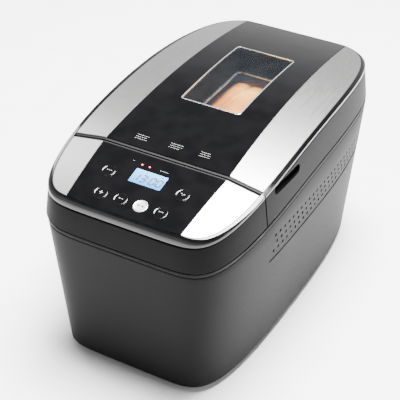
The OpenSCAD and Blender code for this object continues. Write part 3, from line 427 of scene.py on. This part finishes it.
# %% [markdown]
# ## The casing shell
# The body is one deep moulding. Its sides lean in towards the foot, its top edge follows the seam
# arch, and a shallow groove runs round it just below the seam. It is built as rings from the foot
# up, then down again on the inside, so it is a closed wall like the real one.

# %% Casing shell
STEPS = 360
ROUND = even_angles(0.0, 2 * math.pi, STEPS)[:-1]
SKIRT_Z, SHOULDER_Z = 8.0, 205.0
FOOT_IN_X, FOOT_IN_Y = 17.5, 11.5


def lean(z):
    """How far the wall has leaned in at height z, as a share of the foot's inset."""
    return max(0.0, (SHOULDER_Z - z) / (SHOULDER_Z - SKIRT_Z - 5))


def body_ring(z_of, extra):
    points = []
    for t in ROUND:
        x, y = plan_point(t, 0, 0)
        z = z_of(y)
        k = min(1.0, lean(z))
        x, y = plan_point(t, FOOT_IN_X * k + extra, FOOT_IN_Y * k + extra)
        points.append((x, y, z))
    return points


def seam_less(drop):
    def z_of(y):
        relief = 2.0 if y > BACK_Y - 26 else 0.0
        return seam_z(y) - 0.7 - drop - relief * (1 if drop < 3 else 0)
    return z_of


def flat(z):
    return lambda y: z


shell_levels = [body_ring(flat(SKIRT_Z + 2), WALL), body_ring(flat(SKIRT_Z), 2.1),
                body_ring(flat(SKIRT_Z), 1.5), body_ring(flat(SKIRT_Z + 0.5), 0.8),
                body_ring(flat(SKIRT_Z + 1.6), 0.25), body_ring(flat(SKIRT_Z + 3.4), 0)]
shell_levels += [body_ring(flat(z), 0) for z in (13, 30, 50, 75, 100, 125, 150, 170, 182)]
shell_levels += [body_ring(seam_less(d), e) for d, e in
                 ((6.6, 0), (6.1, 0.15), (5.8, 0.7), (5.2, 0.7), (4.9, 0.15), (4.4, 0), (0.5, 0), (0.1, 0.2),
                  (0, 0.6), (0, WALL - 0.3), (4, WALL))]
shell_levels += [body_ring(flat(z), WALL) for z in (180, 120, 60, SKIRT_Z + 2)]
verts, faces = rings(shell_levels)
casing = new_piece("casing_shell", verts, faces, "case", charcoal)
print("casing shell:", len(faces), "faces")

# %% [markdown]
# Each side has a window for the vent grille: square below, rounded at its upper front corner.
# The opening is cut as a prism, and the grille solid shows in it.

# %% Vent openings
VENT = [(-106.8, 144.2), (179.8, 144.2), (179.8, 175.8)] + [
    (-97.0 + 9.8 * math.cos(math.radians(a)), 181.0 + 9.8 * math.sin(math.radians(a)))
    for a in range(90, 181, 9)]


def prism(profile, x0, x1):
    n = len(profile)
    verts = [(x, y, z) for x in (x0, x1) for y, z in profile]
    faces = [tuple(range(n)), tuple(range(n, 2 * n))]
    faces += [(i, (i + 1) % n, n + (i + 1) % n, n + i) for i in range(n)]
    return verts, faces


cut(casing, [prism(VENT, 90, 160), prism(VENT, -160, -90)])
finish_piece(casing, "case", charcoal, ["housing"], True, 30)
print("casing shell after cutting:", len(casing.data.polygons), "faces")

# %% [markdown]
# ## The band under the rim
# Above the seam a narrow charcoal band runs round the lid and the control end. Each is a closed
# loop: round the outside, and straight across where lid and control end face each other.

# %% Bands of the lid and the control end
def band_loop(y_split, back, inset_share, thick, z_share):
    """One closed ring of a band: round the outline between the two ends in the plane y_split, then across."""
    sign = 1 if back else -1
    y_cut = y_split + sign * thick
    t_end = outline_angle(y_cut)
    turn = even_angles(-t_end, math.pi + t_end, 240) if back else even_angles(t_end - math.pi, -t_end, 150)
    points = []
    for t in turn:
        inset = RIM_IN * inset_share + thick
        x, y = plan_point(t, inset, inset)
        if t in (turn[0], turn[-1]):
            y = y_cut
            x = math.copysign(half_x(y_cut, inset), x)
        z0, z1 = seam_z(y) + 0.7, arch_z(y) - RIM_DROP - SKIN - FRAME - 0.1
        points.append((x, y, z0 + (z1 - z0) * z_share))
    edge = points[-1][0]
    for i in range(1, 40):
        x = edge * (1 - 2 * i / 40)
        z0, z1 = seam_z(y_cut) + 0.7, top_z(min(abs(x), HALF_W - RIM_IN), y_cut) - SKIN - FRAME - 0.1
        points.append((x, y_cut, z0 + (z1 - z0) * z_share))
    return points


def make_band(name, y_split, back, body):
    outside = [band_loop(y_split, back, s, t, z) for s, t, z in
               ((0, 0.9, 0), (0, 0.35, 0.004), (0, 0.08, 0.02), (0.05, 0, 0.05), (0.5, 0, 0.5),
                (0.95, 0, 0.95), (0.98, 0.1, 0.985), (1, 0.5, 1))]
    inside = [band_loop(y_split, back, s, WALL, z) for s, z in ((1, 1), (0.5, 0.5), (0, 0))]
    levels = outside + inside + outside[:1]
    verts, faces = rings(levels)
    return new_piece(name, verts, faces, body, charcoal)


def capsule(y0, y1, z0, z1):
    """A slot with round ends, as a profile in y and z."""
    r = (z1 - z0) / 2
    rear = [(y1 - r + r * math.sin(a), (z0 + z1) / 2 + r * math.cos(a)) for a in
            [math.pi * i / 14 for i in range(15)]]
    front = [(y0 + r - r * math.sin(a), (z0 + z1) / 2 - r * math.cos(a)) for a in
             [math.pi * i / 14 for i in range(15)]]
    return rear + front


lid_band = make_band("lid_band", LID_EDGE, True, "lid")
GRIP = capsule(-104.6, -45.4, 239.2, 250.9)
NOTCH = [(205, 200), (262, 200), (262, 227.2), (205, 227.2)]
cut(lid_band, [prism(GRIP, 110, 150), prism(GRIP, -150, -110), prism(NOTCH, 43, 57), prism(NOTCH, -57, -43)])
finish_piece(lid_band, "lid", charcoal, ["lid_skirt"], True, 30)
control_band = make_band("control_band", FRONT_EDGE, False, "case")
finish_piece(control_band, "case", charcoal, ["control_housing"], True, 30)
print("bands:", len(lid_band.data.polygons), len(control_band.data.polygons))

# %% [markdown]
# ## The black rim and the frame inside it
# A rounded rim closes the top all round and catches a long highlight. Inside it the frame drops
# by the thickness of the skins that lie on it, and that dark step shows as the trough between
# lid and control end.

# %% Rims
PROFILE = [(1, SKIN + FRAME), (1, 0)] + [(k, 0) for k in (0.85, 0.7, 0.56, 0.43, 0.31, 0.2, 0.12, 0.06, 0.02)]
PROFILE += [(0, 0), (0, 1.2), (0.02, 3.2), (0.08, SKIN + FRAME)]


def rim_point(x, y, share, down):
    k = 1 - share
    z = top_z(x, y) + (arch_z(y) - RIM_DROP - top_z(x, y)) * (1 - math.sqrt(max(0.0, 1 - k * k)))
    return (x, y, z - down)


def rim_section(t, y_cut, sign):
    points = []
    for share, down in PROFILE:
        inset = RIM_IN + share * BORDER
        if t is None:
            x, y = sign * half_x(y_cut, inset), y_cut
        else:
            x, y = plan_point(t, inset, inset)
        points.append(rim_point(x, y, share, down))
    return points


def make_rim(name, y_split, back, body):
    t_end = outline_angle(y_split + (2 if back else -2))
    turn = even_angles(-t_end, math.pi + t_end, 260) if back else even_angles(t_end - math.pi, -t_end, 160)
    sign = 1 if back else -1
    sections = [rim_section(None, y_split, sign)] + [rim_section(t, 0, 1) for t in turn]
    sections += [rim_section(None, y_split, -sign)]
    verts, faces = rings(sections, capped=True)
    return new_piece(name, verts, faces, body, rim_black)


lid_rim = make_rim("lid_rim", LID_EDGE, True, "lid")
control_rim = make_rim("control_rim", FRONT_EDGE, False, "case")
print("rims:", len(lid_rim.data.polygons), len(control_rim.data.polygons))

# %% Stations along each end, closer where the outline turns
def stations(y_near, back, inset, count=70):
    t0 = outline_angle(y_near)
    t1 = math.radians(88)
    if back:
        run = [-t0 + (t1 + t0) * i / count for i in range(count + 1)]
    else:
        run = [-t1 + (t1 - t0) * i / count for i in range(count + 1)]
    ys = [plan_point(t, inset, inset)[1] for t in run]
    if back:
        return [y_near] + [y for y in ys if y > y_near + 0.3]
    return [y for y in ys if y < y_near - 0.3] + [y_near]


def sheet(ys, x0_of, x1_of, z_of, thick, bevel, across=24):
    """A thin curved sheet between two edges, with a small bevel round its upper face."""
    levels = []
    for k, y in enumerate(ys):
        x0, x1 = x0_of(y), x1_of(y)
        width = x1 - x0
        b = min(bevel, width / 4)
        shares = [0, b / width] + [b / width + (1 - 2 * b / width) * i / across for i in range(1, across)]
        shares += [1 - b / width, 1]
        end = k in (0, len(ys) - 1)
        top = []
        for i, s in enumerate(shares):
            x = x0 + width * s
            edge = i in (0, len(shares) - 1) or end
            top.append((x, y, z_of(x, y) - (bevel if edge else 0)))
        bottom = [(x, y, z_of(x, y) - thick) for x, y, _ in reversed(top)]
        levels.append(top + bottom)
    return rings(levels, capped=True)


def with_bevel(ys, bevel):
    return [ys[0], ys[0] + bevel] + [y for y in ys[1:-1] if ys[0] + 2 * bevel < y < ys[-1] - 2 * bevel] + \
        [ys[-1] - bevel, ys[-1]]


# %% Round holes and slots that follow the tilted top
def on_top(x, y):
    tilt = math.asin((CREST_Y - y) / ARCH_R)
    return Matrix.Translation((x, y, arch_z(y))) @ Matrix.Rotation(tilt, 4, "X")


def placed(points, x, y):
    m = on_top(x, y)
    return [tuple(m @ Vector(p)) for p in points]


def drum(x, y, r, z0, z1, n=64):
    circle = [(r * math.cos(2 * math.pi * i / n), r * math.sin(2 * math.pi * i / n)) for i in range(n)]
    verts = placed([(a, b, z0) for a, b in circle] + [(a, b, z1) for a, b in circle], x, y)
    faces = [tuple(range(n)), tuple(range(n, 2 * n))]
    faces += [(i, (i + 1) % n, n + (i + 1) % n, n + i) for i in range(n)]
    return verts, faces


def round_rect(w, l, r, n=8):
    points = []
    for cx, cy, a0 in ((w / 2 - r, l / 2 - r, 0), (-w / 2 + r, l / 2 - r, 90), (-w / 2 + r, -l / 2 + r, 180),
                       (w / 2 - r, -l / 2 + r, 270)):
        for i in range(n + 1):
            a = math.radians(a0 + 90 * i / n)
            points.append((cx + r * math.cos(a), cy + r * math.sin(a)))
    return points


def block(outline, x, y, z0, z1):
    n = len(outline)
    verts = placed([(a, b, z0) for a, b in outline] + [(a, b, z1) for a, b in outline], x, y)
    faces = [tuple(range(n)), tuple(range(n, 2 * n))]
    faces += [(i, (i + 1) % n, n + (i + 1) % n, n + i) for i in range(n)]
    return verts, faces


WINDOW_W, WINDOW_L, WINDOW_Y = 81.0, 149.0, 55.0
KEYS = {"programme": (-48.5, -167.0), "plus": (-39.0, -198.5), "minus": (-13.0, -198.5),
        "start_stop": (13.0, -198.5), "crust": (39.0, -198.5), "weight": (48.5, -167.0)}
KEY_R = 8.7
LAMPS = ((-18.0, -144.0), (-8.0, -144.0))
LCD_W, LCD_H, LCD_Y = 42.0, 21.5, -160.7


def upright_window(extra):
    outline = round_rect(WINDOW_W + 2 * extra, WINDOW_L + 2 * extra, 3 + max(0, extra))
    n = len(outline)
    verts = [(x, y + WINDOW_Y, z) for z in (200, 300) for x, y in outline]
    faces = [tuple(range(n)), tuple(range(n, 2 * n))]
    faces += [(i, (i + 1) % n, n + (i + 1) % n, n + i) for i in range(n)]
    return verts, faces


def control_cuts(extra):
    cuts = [drum(x, y, KEY_R + 0.3 + extra, -20, 20) for x, y in KEYS.values()]
    cuts += [drum(x, y, 1.5, -20, 20, 20) for x, y in LAMPS]
    return cuts + [block(round_rect(LCD_W, LCD_H, 0.6, 3), 0, LCD_Y, -20, 20)]


# %% [markdown]
# ## Frame plates, gloss panels and steel strips
# The plates carry the skins. The gloss panels run from front to back between two folds, and the
# brushed strips fall away from each fold to the rim. Each skin has a small bevel, because that
# edge is what draws the thin bright line round it.

# %% Frame plates
IN = RIM_IN + BORDER


def make_plate(name, y_near, back, body, cuts, replaced):
    ys = stations(y_near, back, IN - 1.0)
    verts, faces = sheet(ys, lambda y: -half_x(y, IN - 1.0), lambda y: half_x(y, IN - 1.0),
                         lambda x, y: top_z(x, y) - SKIN, FRAME - 0.2, 0.1, 60)
    plate = new_piece(name, verts, faces, body, trough_black)
    cut(plate, cuts)
    finish_piece(plate, body, trough_black, [replaced], True, 30)
    return plate


make_plate("lid_frame_plate", LID_EDGE, True, "lid", [upright_window(-1.5)], "lid_frame")
make_plate("control_frame_plate", FRONT_EDGE, False, "case", control_cuts(0.4), "control_frame")

# %% Gloss panels
SKIN_IN = IN + 0.7
GAP = 2.6


def make_panel(name, y_near, back, body, cuts, replaced):
    ys = with_bevel(stations(y_near, back, SKIN_IN), 0.5)
    edge = lambda y: min(fold_x(y) - 0.2, half_x(y, SKIN_IN))
    verts, faces = sheet(ys, lambda y: -edge(y), edge, lambda x, y: arch_z(y), SKIN - 0.1, 0.5)
    panel = new_piece(name, verts, faces, body, gloss)
    cut(panel, cuts)
    finish_piece(panel, body, gloss, [replaced], True, 25)
    return panel


make_panel("lid_gloss_panel", LID_EDGE + GAP, True, "lid", [upright_window(0)], "lid_panel")
make_panel("control_gloss_panel", FRONT_EDGE - GAP, False, "case", control_cuts(0), "control_panel")

# %% Steel strips
def make_strip(name, y_near, back, body, side, replaced):
    run = reach(BACK_Y if back else FRONT_Y) - SKIN_IN
    fold = (145 if back else 147) / 2 + 1.2
    share = (1 - (fold / (HALF_W - SKIN_IN)) ** SIDE_POWER) ** (1 / END_POWER)
    y_far = WIDE_Y + (1 if back else -1) * run * share
    ys = [y for y in stations(y_near, back, SKIN_IN, 110) if (y < y_far - 0.4 if back else y > y_far + 0.4)]
    ys = with_bevel(ys + [y_far] if back else [y_far] + ys, 0.4)
    inner = lambda y: fold_x(y) + 0.2
    outer = lambda y: max(half_x(y, SKIN_IN), fold_x(y) + 0.7)
    if side > 0:
        verts, faces = sheet(ys, inner, outer, top_z, SKIN - 0.1, 0.4, 10)
    else:
        verts, faces = sheet(ys, lambda y: -outer(y), lambda y: -inner(y), top_z, SKIN - 0.1, 0.4, 10)
    strip = new_piece(name, verts, faces, body, steel_strip, [replaced], sharp=25)


for side, word in ((-1, "left"), (1, "right")):
    make_strip(f"{word}_lid_strip", LID_EDGE + GAP, True, "lid", side, f"{word}_lid_trim")
    make_strip(f"{word}_control_strip", FRONT_EDGE - GAP, False, "case", side, f"{word}_control_trim")

# %% [markdown]
# ## Window
# A bright edge frames the glass. It is a low ring that follows the arch of the lid.

# %% Bright edge of the window
ring_levels = []
for inset, lift in ((-0.2, -1.0), (-0.2, 0.12), (0.1, 0.25), (1.0, 0.25), (1.3, 0.1), (1.3, -1.0)):
    outline = round_rect(WINDOW_W - 2 * inset, WINDOW_L - 2 * inset, 4.2 - inset, 8)
    dense = []
    for a, b in zip(outline, outline[1:] + outline[:1]):
        parts = max(1, int(math.dist(a, b) / 6))
        dense += [(a[0] + (b[0] - a[0]) * i / parts, a[1] + (b[1] - a[1]) * i / parts) for i in range(parts)]
    ring_levels.append([(x, y + WINDOW_Y, arch_z(y + WINDOW_Y) + lift) for x, y in dense])
sizes = {len(level) for level in ring_levels}
print("ring points:", sizes)
verts, faces = rings(ring_levels + ring_levels[:1])
bezel = new_piece("window_bright_edge", verts, faces, "lid", bright_edge)

# %% [markdown]
# ## Keys
# A key is turned: a flange that stops it under the frame, a cap with a small rounded edge, and
# a stem. One profile spun round the key's tilted axis gives all of that.

# %% Keys
KEY_PROFILE = [(0, -9.2), (2.2, -9.2), (2.2, -5.7), (10.3, -5.7), (10.3, -4.6), (KEY_R, -4.5), (KEY_R, 0.1),
               (8.62, 0.45), (8.4, 0.78), (8.05, 0.96), (7.7, 1.0), (7.35, 0.93), (7.1, 0.8), (6.8, 0.76),
               (4.0, 0.74), (0, 0.74)]


def spun(profile, x, y, steps=72):
    verts, faces = [], []
    for i in range(steps):
        a = 2 * math.pi * i / steps
        verts += placed([(r * math.cos(a), r * math.sin(a), z) for r, z in profile], x, y)
    n = len(profile)
    for i in range(steps):
        j = (i + 1) % steps
        for k in range(n - 1):
            faces.append((i * n + k, j * n + k, j * n + k + 1, i * n + k + 1))
    return verts, faces


def raised(name, shapes, x, y, body, material, z=(0.7, 0.82)):
    """Thin printed marks, each an outline about the middle x, y of the surface under them."""
    verts, faces = [], []
    for outline in shapes:
        v, f = block(outline, x, y, *z)
        faces += [tuple(i + len(verts) for i in face) for face in f]
        verts += v
    piece = new_piece(name, verts, faces, body, material, smooth=False)
    return piece


def bar(cx, cy, w, h, slant=0.0):
    return [(cx - w / 2 - slant, cy - h / 2), (cx + w / 2 - slant, cy - h / 2),
            (cx + w / 2 + slant, cy + h / 2), (cx - w / 2 + slant, cy + h / 2)]


MARKS = {
    "programme": [bar(-2.2, 1.4, 1.6, 0.6), bar(0.2, 1.4, 1.6, 0.6), bar(2.6, 1.4, 1.6, 0.6)],
    "plus": [bar(0, 0.8, 4.4, 0.7), bar(0, 2.15, 0.7, 2.0), bar(0, -0.55, 0.7, 2.0)],
    "minus": [bar(-1.6, 1.2, 2.2, 0.7), bar(1.8, 1.0, 1.8, 0.7)],
    "start_stop": [[(-3.6, -1.5), (-1.0, 0.1), (-3.6, 1.7)], bar(0.6, 0.1, 0.8, 3.0),
                   bar(2.9, 0.1, 2.4, 2.6)],
    "crust": [bar(-2.4, 1.3, 1.4, 0.6), bar(-0.2, 1.3, 1.2, 0.6), bar(2.2, 1.3, 1.6, 0.6)],
    "weight": [bar(-1.8, 1.6, 1.9, 0.9), bar(1.6, 0.9, 1.5, 1.2), bar(0.0, -0.6, 0.9, 0.5)],
}
for key, (x, y) in KEYS.items():
    verts, faces = spun(KEY_PROFILE, x, y)
    silver = key == "start_stop"
    cap = new_piece(f"{key}_key_cap", verts, faces, f"{key}_key", silver_lacquer if silver else gloss,
                    [f"{key}_button"], sharp=50)
    raised(f"{key}_key_mark", MARKS[key], x, y, f"{key}_key", segment_dark if silver else print_white)
print("keys:", len(KEYS))

# %% [markdown]
# ## Printed legends
# Fine print on the gloss panels reads as short pale strokes at arm's length, so each legend is a
# few plain dashes, with no letters.

# %% Legends
def dashes(rows, width, pitch, seed):
    shapes = []
    for r in range(rows):
        x, k = -width / 2, 0
        while x < width / 2 - 0.6:
            w = 0.7 + 1.5 * abs(math.sin(seed + r * 2.3 + k * 1.7))
            shapes.append(bar(x + w / 2, -r * pitch, w, 0.45))
            x += w + 0.75
            k += 1
    return shapes


LEGENDS = (("lid_legend_left", "lid", -43, -101, 3, 15, 3.4),
           ("lid_legend_middle", "lid", 1.5, -99, 3, 15, 3.4),
           ("lid_legend_right", "lid", 40, -98, 3, 13, 3.4),
           ("control_legend_lamp", "case", 11, -144, 1, 10, 2),
           ("control_legend_mode", "case", -30, -141.5, 1, 3, 2))
for k, (name, body, x, y, rows, width, pitch) in enumerate(LEGENDS):
    raised(name, dashes(rows, width, pitch, k), x, y, body, print_white, (-0.02, 0.06))

# %% [markdown]
# ## Display digits
# Seven-segment digits are slim slanted bars. They sit on the lit film, just under the gloss.

# %% Digits
SEGMENTS = {"1": "bc", "3": "abcdg", "0": "abcdef"}


def digit(symbol, cx, cy, w, h, t=1.75):
    lean_x = lambda y: (y - cy) * 0.14
    seat = {"a": (cx, cy + h / 2), "g": (cx, cy), "d": (cx, cy - h / 2), "b": (cx + w / 2, cy + h / 4),
            "c": (cx + w / 2, cy - h / 4), "f": (cx - w / 2, cy + h / 4), "e": (cx - w / 2, cy - h / 4)}
    shapes = []
    for s in SEGMENTS[symbol]:
        x, y = seat[s]
        if s in "agd":
            shapes.append(bar(x + lean_x(y), y, w - t * 0.9, t, 0.08))
        else:
            shapes.append(bar(x + lean_x(y), y, t, h / 2 - t * 0.7, 0.14 * (h / 4)))
    return shapes


segments = digit("1", -14.5, -1.6, 5.4, 10.5) + digit("3", -5.4, -1.6, 5.8, 10.5)
segments += [bar(0.6, 0.4, 1.2, 1.2), bar(0.2, -3.6, 1.2, 1.2)]
segments += digit("0", 6.6, -1.6, 5.8, 10.5) + digit("0", 15.2, -1.6, 5.8, 10.5)
segments += [bar(-6, 8.2, 2.6, 0.9), bar(14.5, 8.2, 3.4, 0.9)]
raised("display_digits", segments, 0, LCD_Y, "case", segment_dark, (-0.26, -0.16))

# %% [markdown]
# ## Loaf
# The loaf fills the pan and domes over its rim. Long tears run along the crown where it rose
# last. It is built as rings over a rounded rectangle that shrink towards the crown, with lumps
# and tears added to the height. Its hidden foot stops above the paddles.

# %% Loaf
pan_low, pan_high = (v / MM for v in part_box("bread_pan"))
LOAF_Y = (pan_low.y + pan_high.y) / 2
LOAF_X, LOAF_L = pan_high.x - 12.5, (pan_high.y - pan_low.y) / 2 - 12.5
CROWN = 223.0
PAN_MOUTH_Z = 184


def loaf_outline(share, n=120):
    points = []
    for i in range(n):
        a = 2 * math.pi * i / n
        c, s = math.cos(a), math.sin(a)
        points.append((share * LOAF_X * math.copysign(abs(c) ** 0.55, c),
                       share * LOAF_L * math.copysign(abs(s) ** 0.55, s)))
    return points


def tear(x, y):
    """Depth of the long tears in the crown, from 0 to 1."""
    depth = 0.0
    for x0, wave, width, start, stop in ((-22, 6, 2.6, -70, 96), (14, 9, 3.0, -96, 30),
                                         (30, 5, 2.2, -40, 90)):
        line = x0 + wave * math.sin(y / 23 + x0)
        inside = max(0.0, min(1.0, (y - start) / 18)) * max(0.0, min(1.0, (stop - y) / 18))
        depth = max(depth, inside * math.exp(-((x - line) / width) ** 2))
    return depth


loaf_levels = [[(x, y + LOAF_Y, 138.0) for x, y in loaf_outline(0.93)]]
for z, share in ((142, 0.955), (165, 0.985), (PAN_MOUTH_Z, 1.0)):
    loaf_levels.append([(x, y + LOAF_Y, z) for x, y in loaf_outline(share)])
for k in range(1, 64):
    share = 1 - (k / 64) ** 1.35
    level = []
    for x, y in loaf_outline(share):
        rise = (1 - share ** 9) ** 0.4
        lump = noise.noise(Vector((x, y, 3)) / 26) * 2.4 + noise.noise(Vector((x, y, 9)) / 9) * 0.7
        rough = (lump - 4.0 * tear(x, y)) * min(1.0, rise * 1.2)
        level.append((x, y + LOAF_Y, PAN_MOUTH_Z + (CROWN - 186) * rise + rough))
    loaf_levels.append(level)
verts, faces = rings(loaf_levels, capped=True)
new_piece("bread_loaf", verts, faces, "pan", crust, sharp=180)
print("loaf top:", round(max(v[2] for v in verts), 1), "mm")

# %% [markdown]
# ## Camera, floor and light
# The view is from the front right and above. The light is a studio's: a broad softbox overhead,
# one from the right that lights that side, and a pale floor with a faint shine. The room is
# bright near the floor and dark high up, so the arched gloss panel stays black towards the front
# and picks up grey at the back.

# %% Camera
def look(eye, target):
    return (Vector(target) - Vector(eye)).to_track_quat("-Z", "Y").to_euler()


camera = bpy.data.objects.new("camera", bpy.data.cameras.new("camera"))
bpy.context.scene.collection.objects.link(camera)
camera.location = (0.6011, -1.1004, 1.0225)
camera.rotation_euler = look(camera.location, (0, -0.043, 0.149))
camera.data.sensor_width = 36
camera.data.lens = 108.65
bpy.context.scene.camera = camera

# %% Floor
floor_white, tree, shader, place = begin("lacquered_board_white", "#f4f4f4", 0.16, IOR=1.45)
grain(tree, shader, place, 60.0, 0.0, ("#f2f2f2", "#f6f6f6"), (0.14, 0.2))
work = bmesh.new()
bmesh.ops.create_grid(work, x_segments=40, y_segments=40, size=6)
mesh = bpy.data.meshes.new("floor")
work.to_mesh(mesh)
work.free()
floor = bpy.data.objects.new("floor", mesh)
bpy.context.scene.collection.objects.link(floor)
floor.data.materials.append(floor_white)

# %% Softboxes
def softbox(name, place, target, width, depth, power):
    light = bpy.data.lights.new(name, "AREA")
    light.shape = "RECTANGLE"
    light.size, light.size_y, light.energy = width, depth, power
    lamp = bpy.data.objects.new(name, light)
    bpy.context.scene.collection.objects.link(lamp)
    lamp.location = place
    lamp.rotation_euler = look(place, target)
    return lamp


softbox("overhead_softbox", (0.1, 0.3, 2.4), (0, 0, 0.1), 1.2, 1.2, 520)
softbox("right_softbox", (2.2, 0.2, 1.1), (0, 0, 0.15), 1.2, 1.2, 16)
softbox("left_strip", (-2.0, 0.9, 1.3), (0, 0, 0.2), 0.5, 1.4, 25)

# %% Room light: bright low down, darker above
room = bpy.data.worlds.new("studio")
room.use_nodes = True
bpy.context.scene.world = room
tree = room.node_tree
place = add(tree, "ShaderNodeTexCoord").outputs["Generated"]
split = add(tree, "ShaderNodeSeparateXYZ", Vector=place)
ramp = add(tree, "ShaderNodeValToRGB", Fac=split.outputs["Z"])
ramp.color_ramp.elements[0].position, ramp.color_ramp.elements[1].position = 0.1, 0.62
ramp.color_ramp.elements[0].color = (1.0, 1.0, 1.0, 1)
ramp.color_ramp.elements[1].color = (0.12, 0.12, 0.125, 1)
back = tree.nodes["Background"]
tree.links.new(ramp.outputs[0], back.inputs["Color"])
back.inputs["Strength"].default_value = 1.5
